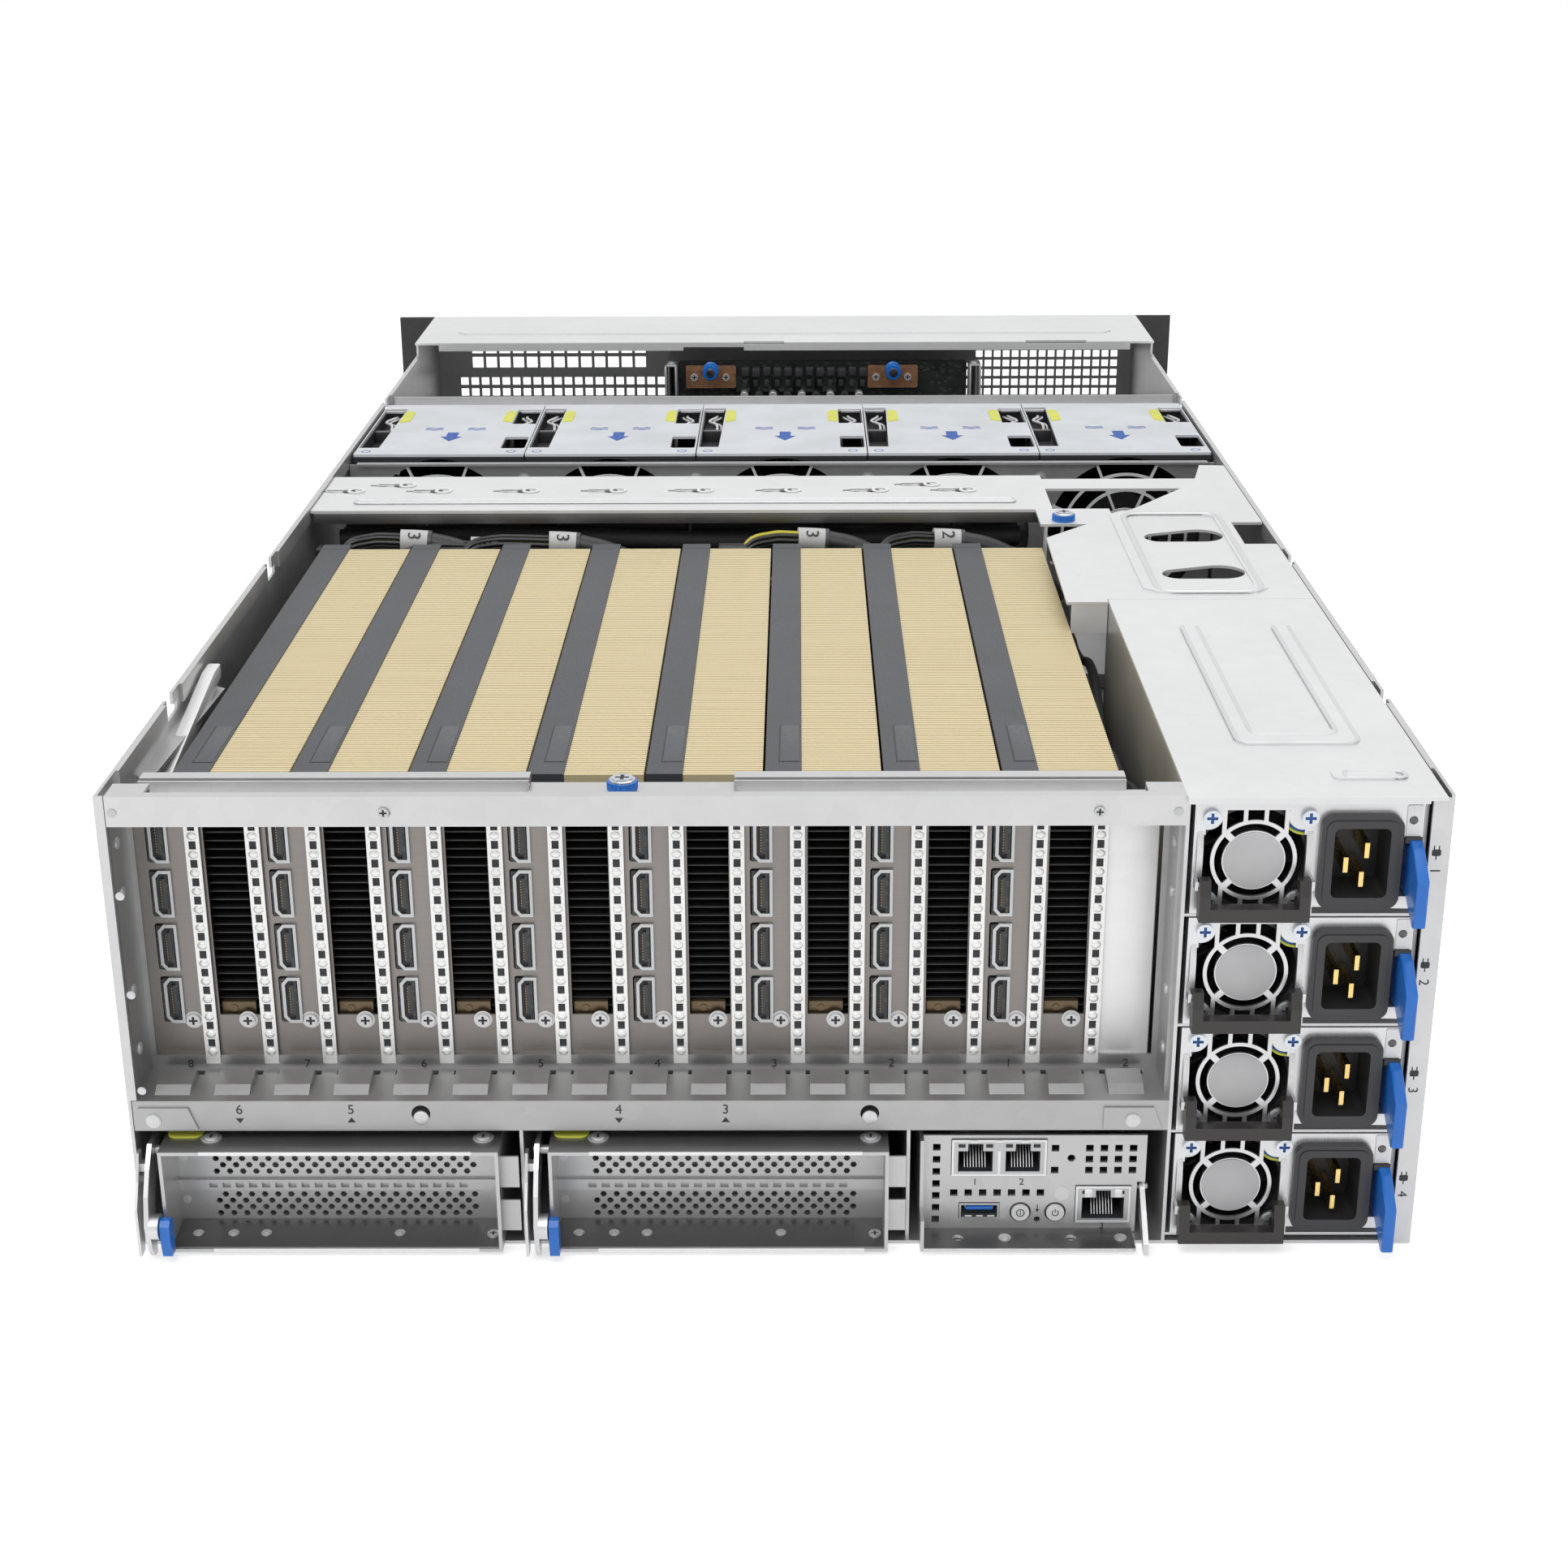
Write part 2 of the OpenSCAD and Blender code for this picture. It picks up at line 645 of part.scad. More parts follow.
function ring_pts(p, d, r) =
  let (f = d / norm(d), s = [1, 0, 0], u = cross(s, f))
  [for (a = [0:7]) p + r * (cos(a * 45) * s + sin(a * 45) * u / norm(u))];

function path_dir(path, i) =
  path[min(i + 1, len(path) - 1)] - path[max(i - 1, 0)];

module tube(path, r) {
  n = len(path);
  pts = [for (i = [0:n - 1]) each ring_pts(path[i], path_dir(path, i), r)];
  sides = [for (i = [0:n - 2], a = [0:7])
    [i * 8 + a, i * 8 + (a + 1) % 8, (i + 1) * 8 + (a + 1) % 8, (i + 1) * 8 + a]];
  polyhedron(pts, concat([[for (a = [7:-1:0]) a]], sides, [[for (a = [0:7]) (n - 1) * 8 + a]]),
    convexity = 4);
}

module power_leads() {
  color([0.12, 0.12, 0.12])
    for (i = [0:card_n - 1]) {
      start = [card_x(i) + lead_x, card_y1 + 9, lead_z];
      tube([for (q = concat(lead_bow, [[0, lead_end[1], plug_top - lead_z]])) start + q], lead_r);
    }
}

// ---------------------------------------------------------------- power column
// The sheets of the cage are riveted together: two walls, four shelves and the end board
module psu_cage() {
  top = lid_z;
  right = psu_x1 + 1.2;
  color("silver") {
    // Left wall with a long pressed rib
    box([cage_x0, yr, sheet], [cage_x1, cage_y1, top]);
    box([cage_x0 - 1, yr + 60, 96], [cage_x0 + 0.1, cage_y1 - 30, 102]);
    for (k = [0:psu_count - 1]) {
      z = psu_base - run_gap - shelf_t + k * psu_step;
      box([cage_x1 + seam, yr + 0.5, z], [right - seam, cage_y1 - 2 - seam, z + shelf_t]);
    }
    box([right, yr + 4, sheet], [right + sheet, cage_y1, top]);
    // Distribution board with its sockets across the front end of the column
    box([cage_x1 + seam, cage_y1 - 2, sheet], [right - seam, cage_y1, top]);
    for (k = [0:psu_count - 1])
      box([psu_x0 + 12, cage_y1 - 13, psu_base + 8 + k * psu_step],
          [psu_x0 + 60, cage_y1 - 1.9, psu_base + 20 + k * psu_step]);
  }
}

module psu_cage_cover() {
  rib = 6.5;
  x0 = psu_x0 + 21;
  x1 = psu_x1 - 19;
  color("whitesmoke") {
    plate_xy(lid_z, sheet) rect([cage_x0, yr - 2.5], [in_r - sheet - 0.4, cage_y1]);
    // U-shaped emboss, open towards the front, and a short one near the rear edge
    plate_xy(wall_h, 0.7) difference() {
      cut_rect([x0, yr + 46], [x1 + 8, cage_y1 - 38], 3);
      cut_rect([x0 + rib, yr + 46 + 1.8 * rib], [x1 + 8 - rib, cage_y1], 3);
    }
    plate_xy(wall_h, 0.7) cut_rect([x1 - 8, yr + 13], [x1 + 13, yr + 21], 1.5);
    // Rear turn-down over the top supply
    box([cage_x0, yr - 2.5, lid_z - 1], [in_r - sheet - 6, yr - 1.5, wall_h]);
  }
}

cable_slot_1 = 39;
cable_slot_2 = 96;
cable_slot_y = [cage_y1 + cable_slot_1, cage_y1 + cable_slot_2];

module cable_cover() {
  y0 = cage_y1 + 0.2;
  x1 = in_r - sheet - 0.4;
  color("whitesmoke") {
    plate_xy(lid_z, sheet) difference() {
      polygon([[cage_x0 - 17, y0 - 4], [cage_x0 - 0.3, y0 - 4], [cage_x0 - 0.3, y0], [x1, y0],
        [x1, brace_y0 + 78], [x1 - 12, brace_y0 + 79], [x1 - 20, brace_y0 + 44],
        [cage_x0 + 30, brace_y0 - 2], [cage_x0 - 16, brace_y0 - 53]]);
      for (y = cable_slot_y)
        translate([cage_x0 + 26, y - 10]) hull() {
          translate([8, 7]) circle(7, $fn = 32);
          translate([26, 10]) circle(10, $fn = 32);
        }
      rect([x1 - 14, y0 + 82], [x1 + 1, y0 + 118]);
    }
    // Pressed rib around the slots
    plate_xy(wall_h, 0.7) difference() {
      cut_rect([cage_x0 + 16, y0 + 8], [x1 - 16, y0 + 136], 6);
      cut_rect([cage_x0 + 21, y0 + 13], [x1 - 21, y0 + 131], 5);
    }
    // Feet on the cage and the brace
    box([cage_x0 - 15, y0 - 3.8, lid_z - 12], [cage_x0 - 0.4, y0 - 2.8, lid_z + 0.1]);
  }
}

// ---------------------------------------------------------------- brace

module keyhole(x, y) {
  translate([x, y]) {
    circle(3.6, $fn = 12);
    translate([-14, -1.4]) square([14, 2.8]);
    translate([-8, 0]) scale([1.6, 1]) circle(2.4, $fn = 12);
  }
}

module cross_brace() {
  left = in_l + sheet + run_gap;
  right = in_r - sheet - run_gap;
  x1 = cage_x0 - 8;
  step = 41.5;
  first = in_l + 13;
  color("whitesmoke") {
    plate_xy(brace_z0, sheet) difference() {
      union() {
        rect([left, brace_y0], [x1, brace_y1]);
        rect([x1 - 1, brace_y0 + 38], [right, brace_y0 + 57]);
      }
      for (k = [0:7]) keyhole(first + k * step, brace_y0 + 36);
      for (k = [0.55, 6.6]) keyhole(first + k * step, brace_y0 + 47);
    }
    // Turned-down long edges
    box([in_l + 3, brace_y0, brace_z0 - 5], [x1, brace_y0 + sheet, brace_z0 + 0.1]);
    box([in_l + 3, brace_y1 - sheet, brace_z0 - 12], [x1, brace_y1, brace_z0 + 0.1]);
    // Pressed rib
    plate_xy(lid_z, 0.6) cut_rect([in_l + 20, brace_y0 + 14], [x1 - 16, brace_y0 + 20], 2);
    // Feet on the wall ledges
    for (x = [left, right - 6])
      box([x, brace_y0 + 40, brace_z0 - 2.8], [x + 6, brace_y0 + 44, brace_z0 + 0.1]);
    // Ear for the captive screw, carried by the cage wall
    box([brace_post_x - 6, brace_y0 - 26, brace_z0], [cage_x0 + 18, brace_y0 + 1, brace_z0 + 1.2]);
    box([brace_post_x - 4, brace_y0 - 26, deck_z], [brace_post_x - 2.8, brace_y0 - 20.5, brace_z0 + 0.1]);
  }
}

// ---------------------------------------------------------------- boards
// From the riser trays to the main board
board_gap = 26;

module main_board() {
  y0 = yr + riser_len + board_gap;
  y1 = fan_y - 12;
  color([0.06, 0.16, 0.1]) {
    box([in_l + 8, y0, 6], [cage_x0 - 4, y1, 7.6]);
    for (x = [in_l + 14, 0, cage_x0 - 12], y = [y0 + 6, y1 - 6])
      translate([x, y, sheet]) cylinder(h = 6 - sheet + 0.1, r = 3, $fn = 12);
  }
  // Sockets for the card power leads
  color("white")
    for (i = [0:card_n - 1])
      translate([card_x(i) + lead_x, card_y1 + 9 + lead_end[1], 7.5])
        box([-5, -5, 0], [5, 5, plug_top - 7.5]);
  // Two processor coolers with fins
  color("silver")
    for (x = [-120, 40]) {
      box([x - 39, y0 + 70, 7.6], [x + 39, y0 + 178, 14]);
      for (j = [0:12]) box([x - 39 + j * 6.4, y0 + 70, 13.9], [x - 37.8 + j * 6.4, y0 + 178, 38]);
    }
  // Memory modules beside the coolers
  color([0.08, 0.08, 0.09])
    for (x = [-190, -72, 94], j = [0:2])
      box([x + j * 9, y0 + 66, 7.6], [x + 4 + j * 9, y0 + 200, 38]);
}

// ---------------------------------------------------------------- fans
cage_top = mod_z1 - 3;

// One large square vent below each fan module, in X and Z
module plenum_vents(deck) {
  for (i = [1:fan_count])
    cut_rect([fan_x(i) - fan_w / 2 + 5, 10], [fan_x(i) + fan_w / 2 - 5, deck - 8], 3);
}

// Rear wall in two sheets, deck with a vented front wall, and a portal over the front of the modules
module fan_cage() {
  x0 = in_l + sheet + run_gap;
  x1 = in_r - sheet - run_gap;
  deck = mod_z0 - run_gap - sheet;
  front = mod_y1 + run_gap;
  post_w = 6;
  // Seam of the rear wall, midway between the low vents and the round windows
  split_z = (deck - 8 + fan_z - fan_r) / 2;
  color("silver") {
    plate_xz(fan_y, sheet) difference() {
      rect([x0, sheet], [x1, split_z]);
      plenum_vents(deck);
    }
    plate_xz(fan_y, sheet) difference() {
      rect([x0, split_z + seam], [x1, cage_top - 1]);
      for (i = [1:fan_count]) translate([fan_x(i), fan_z]) circle(fan_r, $fn = 48);
    }
    box([x0 + 4, fan_y - 3, cage_top - 1.1], [x1 - 4, fan_y + sheet, cage_top]);
    // Deck and lower front wall
    box([x0, fan_y + sheet + seam, deck], [x1, front + 0.1, deck + sheet]);
    plate_xz(front, sheet) difference() {
      rect([x0, sheet], [x1, deck + sheet]);
      plenum_vents(deck);
    }
    // Portal: two posts and the front channel
    for (x = [x0, x1 - post_w])
      box([x, front, deck + sheet + seam], [x + post_w, front + sheet, cage_top - 2]);
    box([x0, front, cage_top - 3], [x1, front + 26, cage_top - 1.9]);
    box([x0, front + 24.8, cage_top - 3], [x1, front + 26, cage_top + 2]);
  }
}

// Wire finger guards in the rear wall windows
module fan_guards() {
  wire = 1.3;
  color("white")
    for (i = [1:fan_count])
      plate_xz(fan_y - wire, wire) translate([fan_x(i), fan_z]) {
        for (r = [14, 24, 32])
          difference() {
            circle(r, $fn = 40);
            circle(r - wire, $fn = 40);
          }
        for (a = [22.5:45:337.5]) rotate(a) translate([13.5, -wire / 2]) square([fan_r - 12.5, wire]);
      }
}

motor_r = 4;
motor_gap = 0.3;

// Fan module: housing with an air bore, two motor posts on spokes, latch pockets in the top
module fan_module(i) {
  x = fan_x(i);
  w = fan_w / 2;
  color([0.82, 0.84, 0.86])
    difference() {
      translate([x, 0, 0]) box([-w, mod_y0, mod_z0], [w, mod_y1, mod_z1]);
      translate([x, mod_y0 - 1, fan_z]) rotate([-90, 0, 0]) cylinder(h = fan_d + 2, r = fan_r, $fn = 64);
      for (s = [-1, 1]) {
        // Latch pocket and small window, each side
        translate([x + s * (w - 6.5), 0, 0]) {
          box([-6.5, mod_y0 + 66, mod_z1 - 9], [6.5, mod_y0 + 96, mod_z1 + 1]);
          box([-6.5, mod_y0 + 16, mod_z1 - 9], [6.5, mod_y0 + 40, mod_z1 + 1]);
        }
      }
    }
  color([0.1, 0.1, 0.11]) {
    // Spoked carrier in the middle of the bore, a motor post each way
    translate([x, mod_y0 + fan_d / 2 - 2, fan_z]) {
      for (a = [45:90:315]) rotate([0, a, 0]) box([hub_r - 2, 0.4, -1.5], [fan_r + 0.6, 3.6, 1.5]);
      rotate([-90, 0, 0]) {
        cylinder(h = 4, r = hub_r, $fn = 48);
        translate([0, 0, -40]) cylinder(h = 84, r = motor_r, $fn = 32);
      }
    }
    // Latch springs in the pockets
    for (s = [-1, 1])
      translate([x + s * (w - 4), mod_y0 + 74, mod_z1 - 9.1]) box([-1, 0, 0], [1, 12, 6]);
  }
}

// Two rotors of one module on a common axis
module fan_rotor(i) {
  mid = mod_y0 + fan_d / 2;
  color([0.14, 0.14, 0.15])
    for (s = [-1, 1])
      translate([fan_x(i), mid + s * 22, fan_z]) rotate([-90, 0, 0]) difference() {
        union() {
          cylinder(h = 36, r = hub_r, center = true, $fn = 48);
          for (k = [0:6]) rotate(k * 360 / 7) blade(hub_r - 1, fan_r - 3.2, 34);
        }
        cylinder(h = 60, r = motor_r + motor_gap, center = true, $fn = 32);
      }
}

// Cambered blade from radius r0 to r1, chord along the axis
module blade(r0, r1, chord) {
  rotate([0, 90, 0]) rotate(38) translate([0, 0, r0]) linear_extrude(r1 - r0)
    polygon([[-chord * 0.42, -0.8], [-chord * 0.15, 1.6], [chord * 0.15, 2.6], [chord * 0.42, 1.8],
      [chord * 0.42, 2.6], [chord * 0.15, 4], [-chord * 0.15, 3.2], [-chord * 0.42, 0.6]]);
}

// ---------------------------------------------------------------- power supply
psu_fan_x = 19.8;
psu_fan_z = psu_h / 2 - 0.4;
inlet_x0 = 41;
inlet_x1 = 67;
inlet_r = 4;
chamber_d = 38;
face_t = 1;
hinge_z = 12;
hinge_out = 4;
lever_x = 69.7;
lever_t = 4;
lever_pin = [lever_x + lever_t / 2, 9];
lever_pin_r = 1.2;

function psu_z(k) = psu_base + (psu_count - k) * psu_step;

module at_psu(k) {
  translate([psu_x0, yr, psu_z(k)]) children();
}

// Fan grille in X and Z: rows of slots above and below a ring, blank disc on four spokes
module grille_2d() {
  c = [psu_fan_x, psu_fan_z];
  difference() {
    union() {
      intersection() {
        rect([3, 2.6], [psu_fan_x * 2 - 3, psu_h - 2.2]);
        union() {
          difference() {
            rect([3, 2.6], [psu_fan_x * 2 - 3, psu_h - 2.2]);
            translate(c) circle(ring_r, $fn = 48);
            for (x = [3:6.7:37]) rect([x - 0.7, 0], [x + 0.7, psu_h]);
          }
          translate(c) for (s = [-1, 1]) rect([s * 14.6 - 3.2, -9], [s * 14.6 + 3.2, 9]);
        }
      }
    }
    translate(c) circle(ring_r, $fn = 48);
    for (sx = [-1, 1], sz = [-1, 1])
      translate(c + [sx * 15.4, sz * 15.6]) circle(4.9, $fn = 32);
  }
  difference() {
    translate(c) circle(ring_r - 1.3, $fn = 48);
    translate(c) circle(10.35, $fn = 48);
    translate(c) for (a = [45, 135]) rotate(a) square([40, 2.2], center = true);
  }
}

// Outline of the mains inlet in X and Z, grown outwards
module inlet_2d(grow, r) {
  round_rect([inlet_x0 - grow, 3 - grow], [inlet_x1 + grow, psu_h - 3.6 + grow], r);
}

module psu_case(k) {
  at_psu(k) {
    color("silver") {
      difference() {
        box([0, 0, 0], [psu_w, psu_len, psu_h]);
        box([1, face_t, 1], [psu_fan_x * 2, chamber_d, psu_h - 1]);
        plate_xz(-1, 25.1) inlet_2d(0.1, inlet_r);
        box([inlet_x1 + 1, -1, 6], [psu_w + 1, 14, 27]);
        plate_xz(-1, 4) grille_2d();
        box([14, psu_len - 9, 6], [62, psu_len + 1, 22]);
      }
      // Fan shaft from the back of the chamber
      translate([psu_fan_x, chamber_d + 0.1, psu_fan_z]) rotate([90, 0, 0])
        cylinder(h = 30, r = 2, $fn = 32);
      // Handle ears with pins
      for (x = [0.4, psu_fan_x * 2 - 1.4]) {
        box([x, -hinge_out - 1.5, hinge_z - 1.5], [x + 1, 0.1, hinge_z + 1.5]);
      }
      translate([0.6, -hinge_out, hinge_z]) rotate([0, 90, 0]) cylinder(h = 3.6, r = 1, $fn = 24);
      translate([psu_fan_x * 2 - 4, -hinge_out, hinge_z]) rotate([0, 90, 0])
        cylinder(h = 3.4, r = 1, $fn = 24);
      // Lever pivot pin
      translate([lever_pin[0], lever_pin[1], 5.9]) cylinder(h = 21.2, r = lever_pin_r, $fn = 24);
    }
    // Mains inlet
    color([0.13, 0.12, 0.12]) {
      difference() {
        plate_xz(-2.6, 26.6) inlet_2d(0, inlet_r);
        plate_xz(-3.6, 19.6) inlet_2d(-3, 2.4);
      }
      for (p = [[8, 16.5], [14.6, 21.6], [13.4, 11.4]])
        box([inlet_x0 + p[0], -0.6, 1 + p[1] - 2.6], [inlet_x0 + p[0] + 1.4, 16.1, 1 + p[1] + 2.6]);
    }
  }
}

module psu_rotor(k) {
  at_psu(k)
    color([0.14, 0.14, 0.15])
      translate([psu_fan_x, 18, psu_fan_z]) rotate([-90, 0, 0]) difference() {
        union() {
          cylinder(h = 20, r = 8.6, center = true, $fn = 40);
          for (j = [0:6]) rotate(j * 360 / 7) psu_blade();
        }
        cylinder(h = 30, r = 2 + motor_gap, center = true, $fn = 24);
      }
}

module psu_blade() {
  rotate([0, 90, 0]) rotate(40) translate([0, 0, 8]) linear_extrude(8.4)
    polygon([[-8, -0.4], [-2, 1], [3, 1.5], [8, 1], [8, 1.8], [3, 2.4], [-2, 2], [-8, 0.4]]);
}

module psu_handle(k) {
  w0 = 1.8;
  w1 = psu_fan_x * 2 - 1.8;
  bar_z = 0.2;
  out = hinge_out + 4;
  at_psu(k)
    color([0.2, 0.17, 0.16])
      difference() {
        union() {
          for (x = [w0, w1 - 3.6])
            plate_yz(x, 3.6) polygon([[-hinge_out + 2, hinge_z + 1], [-hinge_out + 1, hinge_z + 2.5],
              [-hinge_out - 2.5, hinge_z + 2.5], [-out, hinge_z - 3], [-out, bar_z], [-out + 5, bar_z],
              [-out + 5, hinge_z - 4]]);
          box([w0, -out, bar_z], [w1, -out + 5, bar_z + 4.6]);
        }
        for (x = [w0 - 0.1, w1 - 3.7])
          translate([x, -hinge_out, hinge_z]) rotate([0, 90, 0])
            cylinder(h = 3.8, r = 1 + run_gap, $fn = 24);
      }
}

// Release lever: slanted blade that stands out of the face, turning on an upright pin
module psu_lever(k) {
  at_psu(k)
    color("dodgerblue")
      difference() {
        plate_yz(lever_x, lever_t) polygon([[12, 6.6], [12, 26.4], [-2, 26.4], [-6, 25],
          [-15, 17.5], [-15, 1.2], [-13, 0.4], [-8, 3], [-2, 6.6]]);
        translate([lever_pin[0], lever_pin[1], 0]) cylinder(h = 40, r = lever_pin_r + run_gap, $fn = 24);
      }
}

// ---------------------------------------------------------------- lower row trays
tray_x0 = lever_w;
tray_x1 = bay_w - sheet - tab_w;
riser_y0 = yr - lip_out;
latch_z = 14;
latch_y = riser_y0 - 3.6;

// Staggered holes in X and Z
module perforation(x0, x1, z0, z1) {
  nx = floor((x1 - x0) / hole_pitch);
  nz = floor((z1 - z0) / (hole_pitch * 0.55));
  for (j = [0:nz - 1], i = [0:nx - 1])
    translate([x0 + (i + 0.5 + (j % 2) * 0.5) * hole_pitch, z0 + (j + 0.5) * hole_pitch * 0.55])
      circle(1.2, $fn = 6);
}

module riser_tray(n) {
  bx = riser_x[n - 1];
  y_plate = yr + riser_inset - lip_out;
  z0 = floor_z;
  z1 = floor_z + tray_h;
  pin_x = 3.4;
  translate([bx, 0, 0])
    color("silver") {
      // Bottom, top flange and sides
      box([tray_x0, riser_y0, z0], [tray_x1, riser_y0 + riser_len, z0 + tray_t]);
      difference() {
        box([tray_x0, riser_y0, z1 - tray_t], [tray_x1, y_plate + 8, z1]);
        for (x = [tray_x0 + 14, tray_x1 - 6])
          translate([x, riser_y0 + 8, z1 - 3]) cylinder(h = 5, r = 1.6, $fn = 24);
      }
      for (x = [tray_x0, tray_x1 - tray_t])
        plate_yz(x, tray_t)
          polygon([[riser_y0, z0], [riser_y0 + riser_len, z0], [riser_y0 + riser_len, z0 + 14],
            [y_plate + 30, z0 + 14], [y_plate + 12, z1], [riser_y0, z1]]);
      // Perforated slot plates above and below the divider strip
      plate_xz(y_plate, tray_t) difference() {
        rect([tray_x0 + 0.5, z0 + 0.5], [tray_x1 - 0.5, z1 - 0.5]);
        perforation(tray_x0 + 12, tray_x1 - 10, z0 + 2.2, z0 + 12.8);
        perforation(tray_x0 + 12, tray_x1 - 10, z0 + 19, z0 + 29.6);
      }
      plate_xz(y_plate - 1.4, 1.5) difference() {
        rect([tray_x0 + 0.5, z0 + 13.4], [tray_x1 - 0.5, z0 + 17.6]);
        for (i = [0:19]) translate([tray_x0 + 13 + i * 4.6, z0 + 15.5]) square([2.8, 2], center = true);
      }
      // Riser board standing behind the plates
      box([tray_x0 + 8, y_plate + 20, z0 + tray_t - 0.1], [tray_x1 - 8, y_plate + 21.6, z0 + 34]);
      // Lever pin
      translate([pin_x, riser_y0 + 11, z1 - 5]) rotate([0, 90, 0])
        cylinder(h = tray_x0 - pin_x + 0.5, r = 1.6, $fn = 24);
      // Spring tabs at the right side
      for (z = [z0 + 5, z0 + 22])
        box([tray_x1 - 0.1, riser_y0 + 6, z], [tray_x1 + tab_w - run_gap, riser_y0 + 6.8, z + 12]);
    }
}

// Ejector lever: curved bar hanging from its pin, with a boss for the latch
module riser_lever(n) {
  bx = riser_x[n - 1];
  zp = floor_z + tray_h - 5;
  yp = riser_y0 + 11;
  translate([bx, 0, 0])
    color("gainsboro") {
      difference() {
        plate_yz(4.2, 1.6) polygon([[yp + 5, zp + 4], [yp - 4, zp + 4.5], [yp - 10, zp - 2],
          [yp - 15, zp - 10], [yp - 18, zp - 20], [yp - 16, zp - 30], [yp - 13, zp - 34], [yp - 10, zp - 34],
          [yp - 9, zp - 26], [yp - 7, zp - 14], [yp, zp - 7], [yp + 5, zp - 4]]);
        translate([3, yp, zp]) rotate([0, 90, 0]) cylinder(h = 6, r = 1.6 + run_gap, $fn = 24);
      }
      difference() {
        translate([5.7, latch_y, latch_z]) rotate([0, 90, 0]) cylinder(h = 3.2, r = 4.4, $fn = 32);
        translate([5.5, latch_y, latch_z]) rotate([0, 90, 0]) cylinder(h = 4, r = 1.7 + run_gap, $fn = 24);
      }
      // Outer finger plate
      plate_yz(1.2, 1) polygon([[yp - 4.5, zp + 3], [yp - 8, zp + 3], [yp - 12, zp - 6], [yp - 17, zp - 14],
        [yp - 17, zp - 32], [yp - 12, zp - 32], [yp - 9, zp - 14], [yp - 4.5, zp - 6]]);
      box([2.1, yp - 8, zp - 4], [4.3, yp - 5, zp - 1]);
    }
}

// Quarter-turn latch: stem in the boss and a wing beside it
module riser_latch(n) {
  bx = riser_x[n - 1];
  translate([bx, latch_y, latch_z])
    color("royalblue") {
      translate([5.9, 0, 0]) rotate([0, 90, 0]) cylinder(h = 4, r = 1.7, $fn = 24);
      plate_yz(8.9 + run_gap, 3.4) polygon([[-3, 1.4], [-1.2, 3], [1.2, 3], [3, 1.4], [3, -3],
        [2.4, -10.6], [-1.8, -10.6], [-3, -4]]);
    }
}

// I/O tray: panel with ports, square vents and a ledge
io_y = yr + 5;
bail_z = 17;

module square_row(x0, x1, z, n, side) {
  for (i = [0:n - 1]) translate([x0 + i * (x1 - x0) / (n - 1), z]) square(side, center = true);
}

rj_pair = [10, 24.3, 42.6, 38.3];
io_w = io_x1 - io_x0;
rj_one = [io_w - 25.4, 5.6, io_w - 6.4, 20];
usb_win = [13, 7.2, 26.8, 13.2];
id_at = [34.2, 9.6];
power_at = [46.3, 9.6];
button_r = 3.1;

module io_window(r, grow) {
  rect([r[0] - grow, r[1] - grow], [r[2] + grow, r[3] + grow]);
}

module io_tray() {
  z0 = floor_z;
  z1 = 39.8;
  w = io_x1 - io_x0;
  translate([io_x0, 0, 0])
    color("lightgray") {
      plate_xz(io_y, tray_t) difference() {
        rect([0, z0], [w - 1.6, z1]);
        rect([w - 4.4, -1], [w, 21.5]);
        for (r = [rj_pair, rj_one, usb_win]) io_window(r, 0.2);
        for (p = [id_at, power_at]) translate(p) circle(button_r + run_gap, $fn = 24);
        for (j = [0:6]) translate([4.8, 6.6 + j * 4.75]) square(2.6, center = true);
        square_row(11, 41, 17.2, 7, 2.6);
        for (z = [26.1, 30.4, 34.7]) square_row(io_w - 21.2, io_w - 6.2, z, 4, 2.6);
        for (z = [26.1, 34.7]) translate([45.6, z]) square(2.6, center = true);
        translate([51.2, 30.8]) circle(1.4, $fn = 12);
        translate([40.1, 6.6]) circle(1.1, $fn = 12);
      }
      // Ledge, floor and sides of the tray
      difference() {
        box([-1, yr - lip_out, z0], [w - 5.5, io_y + 70, z0 + tray_t]);
        for (x = [12.4, 51.4])
          translate([x, yr - 1, z0 - 1]) cylinder(h = 4, r = 2, $fn = 12);
      }
      box([-1, yr - lip_out, z0], [0.2, io_y + 70, z0 + 12]);
      box([-1, yr + 1, z0], [0.2, io_y + 30, z1]);
      box([w - 5.6, io_y + 0.5, z0], [w - 4.4, io_y + 70, z0 + 19.9]);
      // Board on two rails
      box([3, io_y + 2.6, z0 + 2.6], [w - 8, io_y + 66, z0 + 4]);
      for (y = [io_y + 12, io_y + 56]) box([4, y, z0 + tray_t - 0.1], [w - 9, y + 5, z0 + 2.7]);
      // Pin of the bail
      translate([w - 4.5, io_y + 5, bail_z]) rotate([0, 90, 0]) cylinder(h = 4.4, r = 1.2, $fn = 24);
    }
}

module jack(x0, z0, x1, z1, deep) {
  difference() {
    box([x0, io_y - 0.6, z0], [x1, io_y + deep, z1]);
    box([x0 + 2.2, io_y - 2, z0 + 1.6], [x1 - 2.2, io_y + deep - 4, z1 - 4.4]);
    box([(x0 + x1) / 2 - 2.6, io_y - 2, z1 - 4.5], [(x0 + x1) / 2 + 2.6, io_y + deep - 4, z1 - 1.6]);
  }
}

